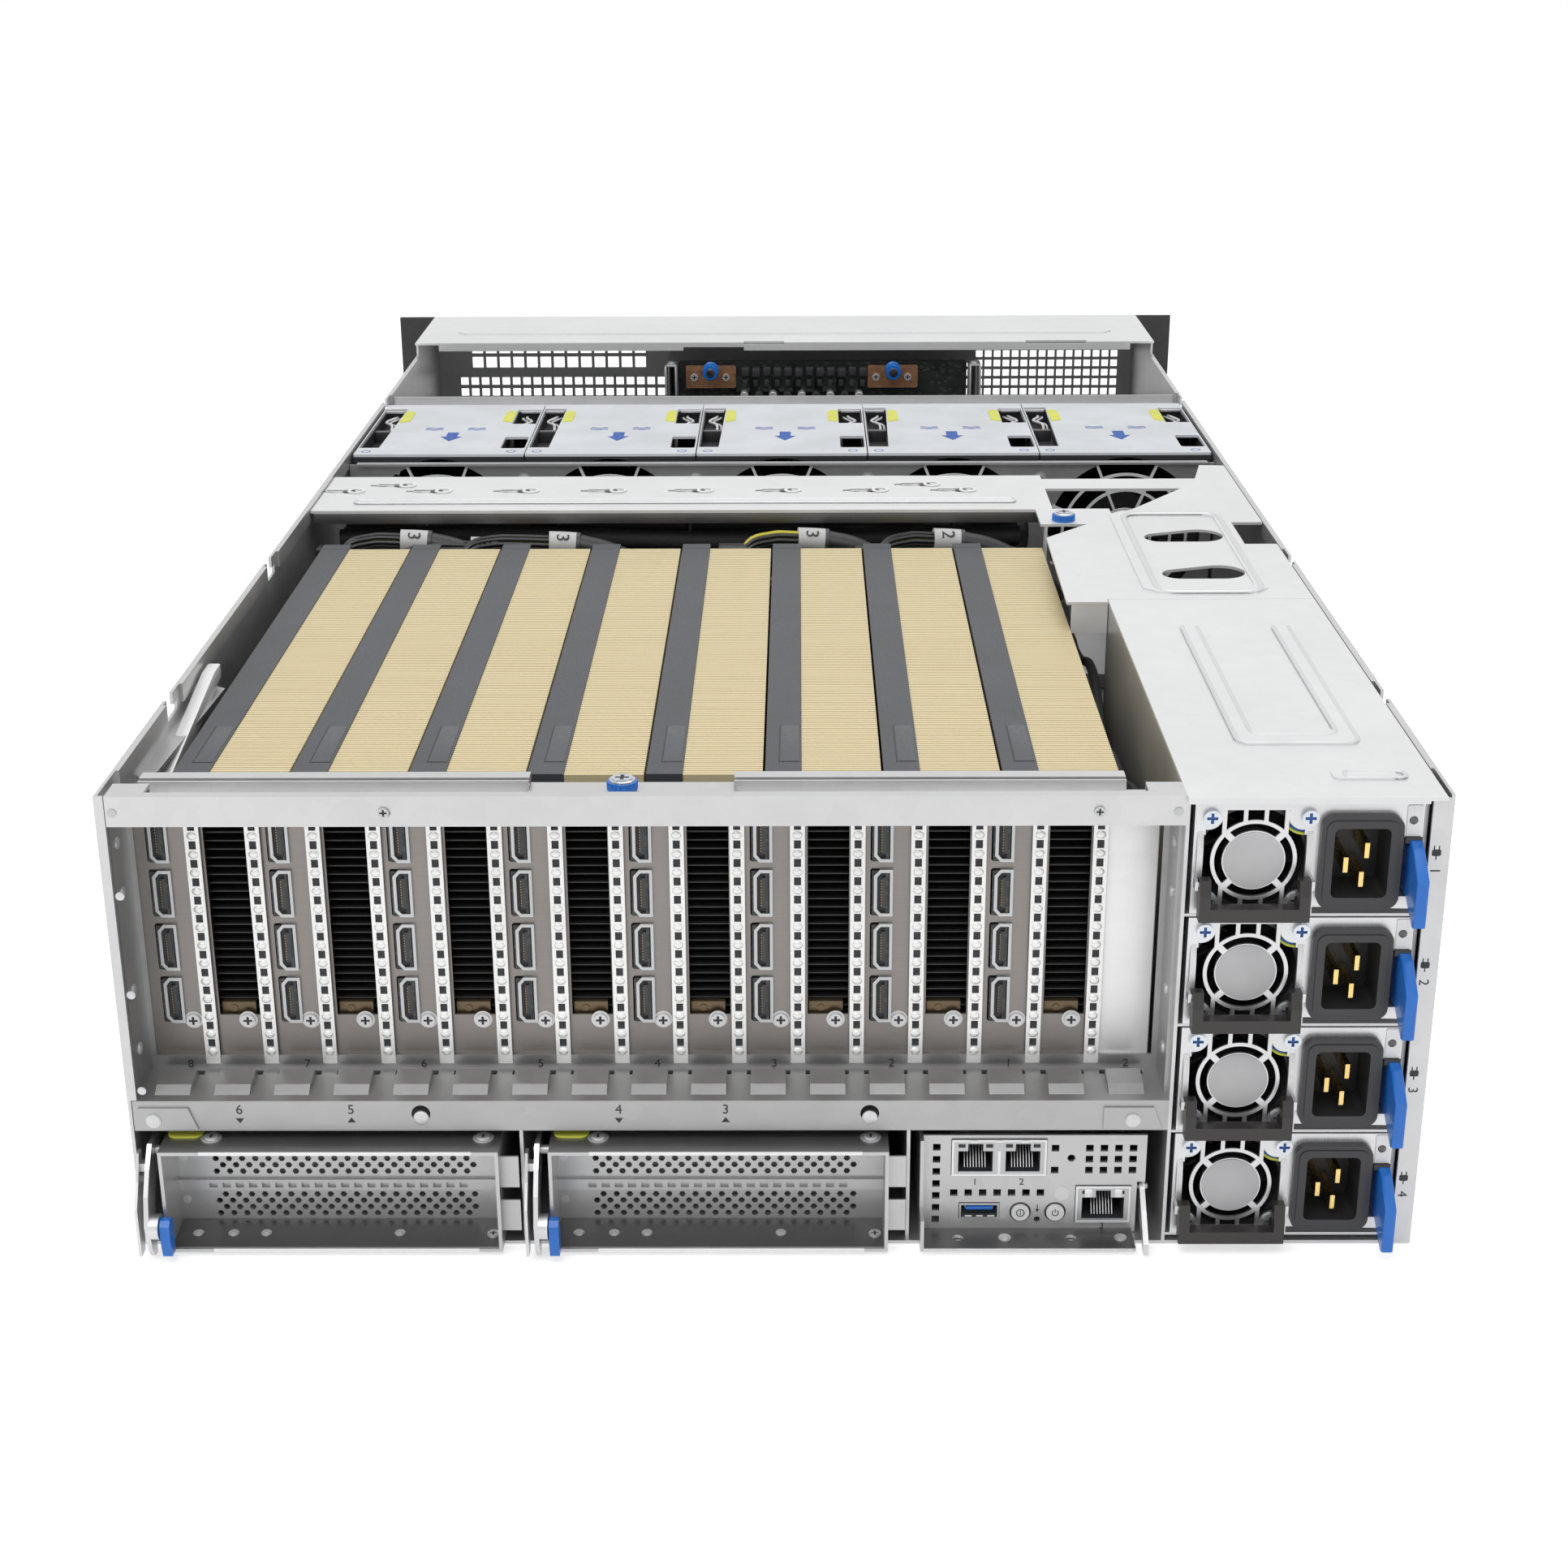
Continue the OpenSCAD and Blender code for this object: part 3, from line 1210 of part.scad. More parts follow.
module io_ports() {
  translate([io_x0, 0, 0])
    color("gray") {
      mid = (rj_pair[0] + rj_pair[2]) / 2;
      jack(rj_pair[0], rj_pair[1], mid, rj_pair[3], 22);
      jack(mid, rj_pair[1], rj_pair[2], rj_pair[3], 22);
      jack(rj_one[0], rj_one[1] + 0.1, rj_one[2], rj_one[3], 22);
      difference() {
        io_usb(0, -0.6, 18);
        io_usb(-0.6, -2, 14);
      }
      io_tongue();
      // Stands under the upper jacks, down to the board
      box([rj_pair[0] + 8, io_y + 16, floor_z + 4], [rj_pair[2] - 8, io_y + 21, rj_pair[1] + 0.1]);
      box([usb_win[0] + 2, io_y + 10, floor_z + 4], [usb_win[2] - 2, io_y + 15, usb_win[1] + 0.1]);
    }
}

module io_usb(grow, front, deep) {
  box([usb_win[0] - grow, io_y + front, usb_win[1] - grow],
    [usb_win[2] + grow, io_y + deep, usb_win[3] + grow]);
}

module io_tongue() {
  box([usb_win[0] + 2, io_y + 1, usb_win[3] - 2.6], [usb_win[2] - 2, io_y + 14.1, usb_win[3] - 1]);
}

module io_button(p) {
  translate([io_x0 + p[0], io_y, p[1]]) rotate([-90, 0, 0]) {
    translate([0, 0, -0.9]) cylinder(h = 3.4, r = button_r, $fn = 24);
    translate([0, 0, 2.4]) cylinder(h = 4, r = 1.2, $fn = 24);
  }
}

module io_bail() {
  w = io_x1 - io_x0;
  translate([io_x0 + w - 3.2, io_y + 5, bail_z])
    color("lightgray")
      difference() {
        plate_yz(0, 1.8) polygon([[-2, 3], [2, 3], [3, 0], [2, -3], [-4, -8], [-13, -13], [-17, -15.6],
          [-20, -15.6], [-19, -12], [-10, -4], [-4, 1]]);
        translate([-1, 0, 0]) rotate([0, 90, 0]) cylinder(h = 4, r = 1.2 + run_gap, $fn = 24);
      }
}

// ---------------------------------------------------------------- assembly
chassis_tray();
rear_beam();
slot_frame();
emi_strips();
retention_bar();
captive_screws();
slot_brackets();
card_shrouds();
card_fins();
card_boards();
switch_board();
psu_cage();
psu_cage_cover();
cable_cover();
cross_brace();
power_leads();
main_board();
fan_cage();
fan_guards();
front_cover();
rack_ears();
front_panel();
drive_backplane();
for (i = [1:5]) fan_module(i);
for (i = [1:5]) fan_rotor(i);
for (i = [1:4]) psu_case(i);
for (i = [1:4]) psu_rotor(i);
for (i = [1:4]) psu_handle(i);
for (i = [1:4]) psu_lever(i);
for (n = [1:2]) riser_tray(n);
for (n = [1:2]) riser_lever(n);
for (n = [1:2]) riser_latch(n);
io_tray();
io_ports();
io_bail();
color("silver") io_button(power_at);  // power_button
color("silver") io_button(id_at);  // id_button
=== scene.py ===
"""The looks of an open rack server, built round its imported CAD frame.

Sizes in the piece builders are millimetres in the row frame: X to the right seen from
the rear, Y from the rear edge to the front, Z up. Mesh.done() turns them into metres.
"""
import math

import bmesh
import bpy
from mathutils import Matrix, Vector

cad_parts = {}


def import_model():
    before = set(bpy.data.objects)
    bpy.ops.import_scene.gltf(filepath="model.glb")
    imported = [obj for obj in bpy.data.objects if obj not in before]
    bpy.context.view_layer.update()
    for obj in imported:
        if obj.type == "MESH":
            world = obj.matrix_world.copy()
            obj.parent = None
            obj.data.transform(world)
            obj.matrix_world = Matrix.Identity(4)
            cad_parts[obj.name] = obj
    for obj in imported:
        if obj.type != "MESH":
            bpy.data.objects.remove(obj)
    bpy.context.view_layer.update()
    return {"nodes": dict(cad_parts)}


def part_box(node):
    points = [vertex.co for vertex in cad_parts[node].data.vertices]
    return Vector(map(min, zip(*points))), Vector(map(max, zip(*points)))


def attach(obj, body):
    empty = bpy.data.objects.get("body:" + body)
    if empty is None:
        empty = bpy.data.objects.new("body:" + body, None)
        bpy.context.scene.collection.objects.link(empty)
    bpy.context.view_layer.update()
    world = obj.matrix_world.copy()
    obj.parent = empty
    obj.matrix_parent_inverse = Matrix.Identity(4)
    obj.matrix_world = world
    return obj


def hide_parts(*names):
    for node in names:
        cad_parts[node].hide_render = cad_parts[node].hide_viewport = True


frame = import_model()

MM = 0.001
NODES = frame["nodes"]


# ---------------------------------------------------------------- places from the frame
def node_box(name):
    """Lowest and highest corner of a CAD node, in millimetres."""
    lo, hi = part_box(name)
    return lo * 1000, hi * 1000


CHASSIS_LO, CHASSIS_HI = node_box("chassis_tray")
COVER_LO, COVER_HI = node_box("front_cover")
SHEET = 1.2
X_L, X_R = CHASSIS_LO.x, CHASSIS_HI.x
Y_REAR = CHASSIS_LO.y
Y_FRONT = COVER_HI.y
WALL_H = 167
WALL_TOP = CHASSIS_LO.z + WALL_H
IN_L, IN_R = X_L + SHEET, X_R - SHEET

SLOT_PITCH = 20.32
SLOT_Y = Y_REAR + 24
CARD_COUNT = 8
FINS_LO, FINS_HI = node_box("card_fins")
SHROUD_LO, SHROUD_HI = node_box("card_shrouds")
CARD_TOP = SHROUD_HI.z
CARD_Y0, CARD_Y1 = SHROUD_LO.y, SHROUD_HI.y
CARD_STEP = 2 * SLOT_PITCH
CARD_X = [SHROUD_LO.x + i * CARD_STEP for i in range(CARD_COUNT)]
SHROUD_W = 12.4
CARD_W = 40.1

FAN_COUNT = 5
PSU_COUNT = 4


# ---------------------------------------------------------------- mesh builder
class Mesh:
    """Collects solids in one bmesh, in millimetres, and makes one object of them."""

    def __init__(self):
        self.bm = bmesh.new()
        self.mat = 0

    def paint(self, faces):
        """Gives faces the current material number."""
        for f in faces:
            f.material_index = self.mat

    def box(self, lo, hi, bevel=0.0, seg=2):
        """A box between two corners, its edges rounded by bevel."""
        size = Vector(hi) - Vector(lo)
        made = bmesh.ops.create_cube(self.bm, size=1.0)["verts"]
        mid = (Vector(hi) + Vector(lo)) / 2
        for v in made:
            v.co = Vector(a * b for a, b in zip(v.co, size)) + mid
        faces = list({f for v in made for f in v.link_faces})
        self.paint(faces)
        if bevel:
            edges = list({e for v in made for e in v.link_edges})
            got = bmesh.ops.bevel(self.bm, geom=edges, offset=bevel, segments=seg, profile=0.6,
                                  affect="EDGES")
            self.paint(got["faces"])
            made = list({v for f in got["faces"] for v in f.verts} | {v for v in made if v.is_valid})
        return made

    def prism(self, outline, axis, a, b, bevel=0.0, seg=2):
        """A flat outline pushed from a to b along axis. The outline's two numbers are the other
        two coordinates, in X, Y, Z order."""
        others = [i for i in range(3) if i != "xyz".index(axis)]
        k = "xyz".index(axis)

        def at(p, h):
            q = [0.0, 0.0, 0.0]
            q[others[0]], q[others[1]], q[k] = p[0], p[1], h
            return self.bm.verts.new(q)

        low, high = [at(p, a) for p in outline], [at(p, b) for p in outline]
        n = len(outline)
        faces = [self.bm.faces.new(low[::-1]), self.bm.faces.new(high)]
        faces += [self.bm.faces.new((low[i], low[(i + 1) % n], high[(i + 1) % n], high[i]))
                  for i in range(n)]
        bmesh.ops.recalc_face_normals(self.bm, faces=faces)
        self.paint(faces)
        if bevel:
            rim = list({e for f in faces[:2] for e in f.edges})
            got = bmesh.ops.bevel(self.bm, geom=rim, offset=bevel, segments=seg, profile=0.6,
                                  affect="EDGES")
            self.paint(got["faces"])
        return low + high

    def turned(self, profile, base, axis=(0, 0, 1), seg=32):
        """A turned solid. The profile lists (radius, height) from one end of the axis to the other."""
        turn = Vector((0, 0, 1)).rotation_difference(Vector(axis)).to_matrix()
        base = Vector(base)
        rings = []
        for r, h in profile:
            if r <= 1e-6:
                rings.append([self.bm.verts.new(base + turn @ Vector((0, 0, h)))])
            else:
                rings.append([self.bm.verts.new(base + turn @ Vector(
                    (r * math.cos(t * math.tau / seg), r * math.sin(t * math.tau / seg), h)))
                    for t in range(seg)])
        faces = []
        for p, q in zip(rings, rings[1:]):
            for t in range(seg):
                u = (t + 1) % seg
                loop = [p[t % len(p)], p[u % len(p)], q[u % len(q)], q[t % len(q)]]
                loop = list(dict.fromkeys(loop))
                if len(loop) > 2:
                    faces.append(self.bm.faces.new(loop))
        for ring in (rings[0], rings[-1]):
            if len(ring) > 1:
                faces.append(self.bm.faces.new(ring))
        bmesh.ops.recalc_face_normals(self.bm, faces=faces)
        self.paint(faces)
        return rings

    def tube(self, points, r, seg=10, closed=False):
        """A round tube along points."""
        pts = [Vector(p) for p in points]
        n = len(pts)
        rings = []
        side = None
        for i, p in enumerate(pts):
            before = pts[i - 1] if (i or closed) else p
            after = pts[(i + 1) % n] if (i < n - 1 or closed) else p
            run = (after - before).normalized()
            if side is None:
                side = run.orthogonal().normalized()
            side = (side - run * side.dot(run)).normalized()
            up = run.cross(side)
            rings.append([self.bm.verts.new(p + r * (math.cos(a * math.tau / seg) * side
                                                     + math.sin(a * math.tau / seg) * up))
                          for a in range(seg)])
        faces = []
        pairs = list(zip(rings, rings[1:])) + ([(rings[-1], rings[0])] if closed else [])
        for p, q in pairs:
            faces += [self.bm.faces.new((p[a], p[(a + 1) % seg], q[(a + 1) % seg], q[a]))
                      for a in range(seg)]
        if not closed:
            faces += [self.bm.faces.new(rings[0]), self.bm.faces.new(rings[-1])]
        bmesh.ops.recalc_face_normals(self.bm, faces=faces)
        self.paint(faces)

    def plate(self, outline, holes, axis, a, b):
        """A flat outline with holes, pushed from a to b along axis."""
        others = [i for i in range(3) if i != "xyz".index(axis)]
        k = "xyz".index(axis)
        sheet = bmesh.new()
        for loop in [outline] + holes:
            verts = []
            for p in loop:
                q = [0.0, 0.0, 0.0]
                q[others[0]], q[others[1]], q[k] = p[0], p[1], a
                verts.append(sheet.verts.new(q))
            for i in range(len(verts)):
                sheet.edges.new((verts[i], verts[(i + 1) % len(verts)]))
        bmesh.ops.triangle_fill(sheet, use_beauty=True, edges=sheet.edges[:])
        bmesh.ops.dissolve_limit(sheet, angle_limit=0.001, verts=sheet.verts[:], edges=sheet.edges[:])
        push = [0.0, 0.0, 0.0]
        push[k] = b - a
        got = bmesh.ops.extrude_face_region(sheet, geom=sheet.faces[:])
        bmesh.ops.translate(sheet, vec=push, verts=[g for g in got["geom"]
                                                    if isinstance(g, bmesh.types.BMVert)])
        bmesh.ops.recalc_face_normals(sheet, faces=sheet.faces[:])
        copies = {v: self.bm.verts.new(v.co) for v in sheet.verts}
        faces = [self.bm.faces.new([copies[v] for v in f.verts]) for f in sheet.faces]
        sheet.free()
        self.paint(faces)

    def move(self, matrix, start=0):
        """Moves every point from number start on."""
        self.bm.verts.ensure_lookup_table()
        for v in self.bm.verts[start:]:
            v.co = matrix @ v.co

    def count(self):
        """How many points there are so far."""
        return len(self.bm.verts)

    def done(self, name, body, mats, slot, smooth=35):
        """Makes the object, in metres, and lets it ride on a body."""
        for v in self.bm.verts:
            v.co *= MM
        data = bpy.data.meshes.new(name)
        self.bm.to_mesh(data)
        self.bm.free()
        for m in mats if isinstance(mats, (list, tuple)) else [mats]:
            data.materials.append(m)
        obj = bpy.data.objects.new(name, data)
        bpy.context.scene.collection.objects.link(obj)
        for p in data.polygons:
            p.use_smooth = True
        data.set_sharp_from_angle(angle=math.radians(smooth))
        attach(obj, body)
        return obj


def arc(cx, cy, r, a0, a1, n):
    """Points on an arc, in degrees."""
    return [(cx + r * math.cos(math.radians(a0 + (a1 - a0) * i / n)),
             cy + r * math.sin(math.radians(a0 + (a1 - a0) * i / n))) for i in range(n + 1)]


def ring(cx, cy, r, n=24):
    """Points of a full circle."""
    return arc(cx, cy, r, 0, 360, n)[:-1]


def rounded(x0, y0, x1, y1, r, n=4):
    """Outline of a rectangle with round corners."""
    return (arc(x1 - r, y1 - r, r, 0, 90, n) + arc(x0 + r, y1 - r, r, 90, 180, n)
            + arc(x0 + r, y0 + r, r, 180, 270, n) + arc(x1 - r, y0 + r, r, 270, 360, n))


def rect(x0, y0, x1, y1):
    """Outline of a rectangle."""
    return [(x0, y0), (x1, y0), (x1, y1), (x0, y1)]


# ---------------------------------------------------------------- materials
class Nodes:
    """A material's node tree, with short calls for the nodes used here."""

    def __init__(self, name):
        self.mat = bpy.data.materials.new(name)
        self.mat.use_nodes = True
        self.tree = self.mat.node_tree
        self.bsdf = self.tree.nodes["Principled BSDF"]
        self.coord = self.tree.nodes.new("ShaderNodeTexCoord").outputs["Object"]

    def link(self, a, b):
        self.tree.links.new(a, b)

    def stretch(self, scale):
        """Object coordinates, scaled along each axis."""
        m = self.tree.nodes.new("ShaderNodeMapping")
        m.inputs["Scale"].default_value = scale
        self.link(self.coord, m.inputs["Vector"])
        return m.outputs["Vector"]

    def noise(self, scale, detail=4.0, vector=None, rough=0.55):
        n = self.tree.nodes.new("ShaderNodeTexNoise")
        n.inputs["Scale"].default_value = scale
        n.inputs["Detail"].default_value = detail
        n.inputs["Roughness"].default_value = rough
        self.link(vector or self.coord, n.inputs["Vector"])
        return n.outputs["Fac"]

    def cells(self, scale, output="Color", vector=None):
        n = self.tree.nodes.new("ShaderNodeTexVoronoi")
        n.inputs["Scale"].default_value = scale
        self.link(vector or self.coord, n.inputs["Vector"])
        return n.outputs[output]

    def ramp(self, fac, stops):
        """stops lists (place, colour or grey level)."""
        r = self.tree.nodes.new("ShaderNodeValToRGB")
        e = r.color_ramp.elements
        while len(e) < len(stops):
            e.new(0.5)
        for el, (at, value) in zip(e, stops):
            el.position = at
            el.color = (*value, 1) if isinstance(value, (tuple, list)) else (value, value, value, 1)
        self.link(fac, r.inputs["Fac"])
        return r.outputs["Color"]

    def mix(self, a, b, fac=0.5, kind="MIX"):
        m = self.tree.nodes.new("ShaderNodeMix")
        m.data_type = "RGBA"
        m.blend_type = kind
        for value, socket in ((fac, m.inputs[0]), (a, m.inputs[6]), (b, m.inputs[7])):
            if isinstance(value, bpy.types.NodeSocket):
                self.link(value, socket)
            elif isinstance(value, (tuple, list)):
                socket.default_value = (*value, 1)
            else:
                socket.default_value = value
        return m.outputs[2]

    def bump(self, height, strength, distance):
        b = self.tree.nodes.new("ShaderNodeBump")
        b.inputs["Strength"].default_value = strength
        b.inputs["Distance"].default_value = distance
        self.link(height, b.inputs["Height"])
        self.link(b.outputs["Normal"], self.bsdf.inputs["Normal"])

    def set(self, **sockets):
        """Constants on the shader's own sockets, such as Metallic or Roughness."""
        for key, value in sockets.items():
            self.bsdf.inputs[key.replace("_", " ")].default_value = value
        return self


def galvanised(name, tone, metal=0.75, spangle=0.05, rough=(0.3, 0.46)):
    """Zinc-coated sheet: angular spangle, soft cloudy tone and fine roller scratches."""
    m = Nodes(name)
    cells = m.ramp(m.cells(160.0), [(0.0, 1 - spangle), (1.0, 1.0)])
    cloud = m.ramp(m.noise(14.0, 5.0), [(0.3, 0.93), (0.75, 1.0)])
    tint = m.mix(cells, cloud, 1.0, "MULTIPLY")
    m.link(m.mix(tint, tone, 1.0, "MULTIPLY"), m.bsdf.inputs["Base Color"])
    lines = m.noise(60.0, 3.0, m.stretch((2.0, 60.0, 60.0)))
    m.link(m.ramp(m.mix(lines, m.noise(30.0), 0.5), [(0.3, rough[0]), (0.7, rough[1])]),
           m.bsdf.inputs["Roughness"])
    m.bump(lines, 0.06, 0.0004)
    m.set(Metallic=metal)
    return m.mat


def brushed(name, tone, metal=0.85, rough=(0.28, 0.42), along=(400.0, 8.0, 8.0)):
    """Metal with a fine one-way grain."""
    m = Nodes(name)
    grain = m.noise(10.0, 4.0, m.stretch(along))
    shade = m.ramp(grain, [(0.3, tuple(0.88 * c for c in tone)), (0.7, tone)])
    cloud = m.ramp(m.noise(22.0), [(0.3, 0.9), (0.7, 1.0)])
    m.link(m.mix(shade, cloud, 1.0, "MULTIPLY"), m.bsdf.inputs["Base Color"])
    m.link(m.ramp(grain, [(0.3, rough[0]), (0.7, rough[1])]), m.bsdf.inputs["Roughness"])
    m.bump(grain, 0.08, 0.0003)
    m.set(Metallic=metal)
    return m.mat


def plastic(name, tone, rough=0.42, grain=900.0, depth=0.12, coat=0.0):
    """Moulded plastic: fine spark-eroded grain and a slight cloud in its colour."""
    m = Nodes(name)
    cloud = m.ramp(m.noise(35.0, 3.0), [(0.3, tuple(0.86 * c for c in tone)), (0.7, tone)])
    m.link(cloud, m.bsdf.inputs["Base Color"])
    fine = m.noise(grain, 2.0)
    m.link(m.ramp(fine, [(0.3, rough - 0.06), (0.7, rough + 0.08)]), m.bsdf.inputs["Roughness"])
    m.bump(fine, depth, 0.0002)
    m.set(Coat_Weight=coat)
    return m.mat


def board(name, mask, track):
    """Circuit board: solder mask over faint tracks, with small pads."""
    m = Nodes(name)
    tracks = m.ramp(m.cells(220.0, "Distance", m.stretch((1.0, 3.0, 1.6))), [(0.32, track), (0.36, mask)])
    dots = m.ramp(m.cells(520.0, "Distance"), [(0.06, (0.62, 0.58, 0.45)), (0.1, mask)])
    m.link(m.mix(tracks, dots, 0.35, "LIGHTEN"), m.bsdf.inputs["Base Color"])
    m.link(m.ramp(m.noise(200.0), [(0.3, 0.28), (0.7, 0.5)]), m.bsdf.inputs["Roughness"])
    m.bump(tracks, 0.1, 0.0002)
    return m.mat


GALV = galvanised("galvanised_sheet", (0.60, 0.60, 0.605))
GALV_WHITE = galvanised("pale_sheet", (0.80, 0.805, 0.81), metal=0.35, spangle=0.03, rough=(0.36, 0.5))
NICKEL = brushed("nickel_bracket", (0.27, 0.25, 0.235), 0.8, (0.34, 0.46), (8.0, 8.0, 300.0))
SPRING = brushed("tinned_spring", (0.93, 0.93, 0.92), 0.5, (0.28, 0.4), (8.0, 8.0, 200.0))
STEEL = brushed("plated_steel", (0.70, 0.70, 0.71), 0.85, (0.26, 0.4), (300.0, 8.0, 8.0))
STEEL_DARK = brushed("shaded_steel", (0.52, 0.53, 0.54), 0.85, (0.3, 0.45), (300.0, 8.0, 8.0))
CHROME = brushed("screw_metal", (0.62, 0.65, 0.69), 1.0, (0.16, 0.26), (60.0, 60.0, 60.0))
SHROUD = plastic("shroud_grey", (0.062, 0.066, 0.075), 0.5, 1300.0, 0.1)
BLACK = plastic("black_plastic", (0.035, 0.035, 0.038), 0.38, 1100.0, 0.1)
BROWN = plastic("handle_plastic", (0.030, 0.026, 0.025), 0.36, 900.0, 0.12)
BLUE = plastic("blue_plastic", (0.008, 0.17, 0.66), 0.34, 900.0, 0.08, 0.2)
YELLOW = plastic("lime_pad", (0.78, 0.80, 0.10), 0.5, 700.0, 0.05)
MODULE = plastic("module_plastic", (0.74, 0.765, 0.80), 0.46, 1200.0, 0.06)
WHITE = plastic("white_plastic", (0.88, 0.88, 0.88), 0.5, 800.0, 0.05)
# Black for printed marks; also painted shade on screw recess floors and behind the contact strips.
INK_AND_SHADE = plastic("ink_and_painted_shade", (0.03, 0.03, 0.035), 0.6, 600.0, 0.02)
INK_BLUE = plastic("arrow_ink", (0.008, 0.09, 0.42), 0.55, 600.0, 0.02)
COAT = plastic("black_coat", (0.03, 0.03, 0.032), 0.55, 500.0, 0.2)
SLEEVE = plastic("cable_sleeve", (0.03, 0.03, 0.032), 0.7, 1500.0, 0.5)
GOLD = brushed("contact_gold", (0.85, 0.62, 0.24), 1.0, (0.2, 0.3), (60.0, 60.0, 60.0))
COPPER = brushed("copper_pad", (0.80, 0.42, 0.24), 0.9, (0.28, 0.4), (60.0, 60.0, 60.0))
# The galvanised sheet in a darker tone: painted shade on the recessed slot frame.
SHADED_SLOT_SHEET = galvanised("slot_sheet_painted_shade", (0.42, 0.42, 0.42), metal=0.8, spangle=0.07)
TRAY = galvanised("tray_sheet", (0.55, 0.55, 0.55), metal=0.7, spangle=0.05)
# Darker copies of the tray sheet: painted shade on the riser flanges, the ledges and the brace flange strip.
SHADED_TRAY_FLANGE = galvanised("tray_flange_painted_shade", (0.30, 0.30, 0.30), metal=0.8, spangle=0.06)
SHADED_TRAY_LEDGE = galvanised("tray_ledge_painted_shade", (0.17, 0.17, 0.172), metal=0.8, spangle=0.08)
# Pale sheet for the blank bracket, contacts and jack rims; also painted highlight on folded lips and dished
# rims.
LIP = galvanised("bright_lip", (0.86, 0.86, 0.86), metal=0.5, spangle=0.03)
BOARD_G = board("green_board", (0.015, 0.055, 0.03), (0.03, 0.10, 0.05))
BOARD_K = board("black_board", (0.02, 0.023, 0.022), (0.05, 0.055, 0.05))


def gold_fins():
    """Champagne anodised fins with a fine tone change from fin to fin."""
    m = Nodes("gold_fins")
    per_fin = m.noise(60.0, 1.0, m.stretch((0.0, 9.0, 0.0)))
    m.link(m.ramp(per_fin, [(0.3, (0.80, 0.68, 0.41)), (0.7, (0.84, 0.73, 0.46))]),
           m.bsdf.inputs["Base Color"])
    m.link(m.ramp(m.noise(240.0), [(0.3, 0.34), (0.7, 0.5)]), m.bsdf.inputs["Roughness"])
    m.bump(m.noise(500.0), 0.05, 0.0002)
    m.set(Metallic=0.25)
    return m.mat


FIN = gold_fins()
FIN_DARK = brushed("inner_fins", (0.035, 0.035, 0.036), 0.4, (0.4, 0.55), (8.0, 300.0, 8.0))

LOOK = {
    "chassis_tray": GALV, "rear_beam": GALV, "slot_frame": SHADED_SLOT_SHEET, "emi_strips": SPRING,
    "retention_bar": GALV, "captive_screws": BLUE, "slot_brackets": NICKEL,
    "card_shrouds": SHROUD, "card_fins": FIN, "card_boards": BOARD_K, "switch_board": BOARD_G,
    "psu_cage": GALV, "psu_cage_cover": GALV_WHITE, "cable_cover": GALV_WHITE,
    "cross_brace": GALV_WHITE, "power_leads": SLEEVE, "main_board": BOARD_G, "fan_cage": GALV,
    "fan_guards": WHITE, "front_cover": GALV_WHITE, "rack_ears": COAT, "front_panel": GALV,
    "drive_backplane": BOARD_K, "io_tray": TRAY, "io_ports": STEEL_DARK, "io_bail": STEEL,
    "power_button": WHITE, "id_button": WHITE,
}
ENDINGS = {"_rotor": BLACK, "_case": STEEL, "_handle": BROWN, "_tray": TRAY, "_latch": BLUE}


def look_of(name):
    """The material of a CAD node."""
    if name in LOOK:
        return LOOK[name]
    if name.startswith("fan_module"):
        return MODULE
    if name.startswith("fan_rotor"):
        return BLACK
    if name.endswith("_lever"):
        return BLUE if name.startswith("psu") else STEEL
    return next(m for end, m in ENDINGS.items() if name.endswith(end))


for node_name, obj in NODES.items():
    mat = look_of(node_name)
    for s in obj.material_slots:
        s.material = mat


# ---------------------------------------------------------------- camera, light and floor
def camera():
    """The photograph's viewpoint: behind the rear face, looking down at 21 degrees."""
    yaw, pitch, roll = -0.0067, 0.3713, -0.0042
    place = Vector((8.47, -1128.3, 454.7)) * MM
    ahead = Vector((math.sin(yaw) * math.cos(pitch), math.cos(yaw) * math.cos(pitch), -math.sin(pitch)))
    right = Vector((math.cos(yaw), -math.sin(yaw), 0))
    up = right.cross(ahead)
    side = math.cos(roll) * right + math.sin(roll) * up
    top = -math.sin(roll) * right + math.cos(roll) * up
    cam = bpy.data.objects.new("camera", bpy.data.cameras.new("camera"))
    cam.data.sensor_width = 36.0
    cam.data.lens = 55.8
    cam.data.clip_start, cam.data.clip_end = 0.01, 50
    cam.matrix_world = Matrix.Translation(place) @ Matrix((side, top, -ahead)).transposed().to_4x4()
    bpy.context.scene.collection.objects.link(cam)
    bpy.context.scene.camera = cam


def area_light(name, place, target, size, power):
    """A soft rectangular lamp, aimed at a point."""
    light = bpy.data.lights.new(name, "AREA")
    light.shape = "RECTANGLE"
    light.size, light.size_y = size
    light.energy = power
    obj = bpy.data.objects.new(name, light)
    obj.location = place
    obj.rotation_euler = (Vector(target) - Vector(place)).to_track_quat("-Z", "Y").to_euler()
    bpy.context.scene.collection.objects.link(obj)


def white_for_eye(tree, seen, lit):
    """Joins two colours or shaders: seen by the camera and in reflections, lit for the rest."""
    path = tree.nodes.new("ShaderNodeLightPath")
    add = tree.nodes.new("ShaderNodeMath")
    add.operation = "ADD"
    add.use_clamp = True
    tree.links.new(path.outputs["Is Camera Ray"], add.inputs[0])
    more = tree.nodes.new("ShaderNodeMath")
    more.operation = "ADD"
    more.use_clamp = True
    tree.links.new(path.outputs["Is Glossy Ray"], more.inputs[0])
    tree.links.new(path.outputs["Is Transmission Ray"], more.inputs[1])
    tree.links.new(more.outputs[0], add.inputs[1])
    mix = tree.nodes.new("ShaderNodeMixShader")
    tree.links.new(add.outputs[0], mix.inputs[0])
    tree.links.new(lit, mix.inputs[1])
    tree.links.new(seen, mix.inputs[2])
    return mix.outputs[0]


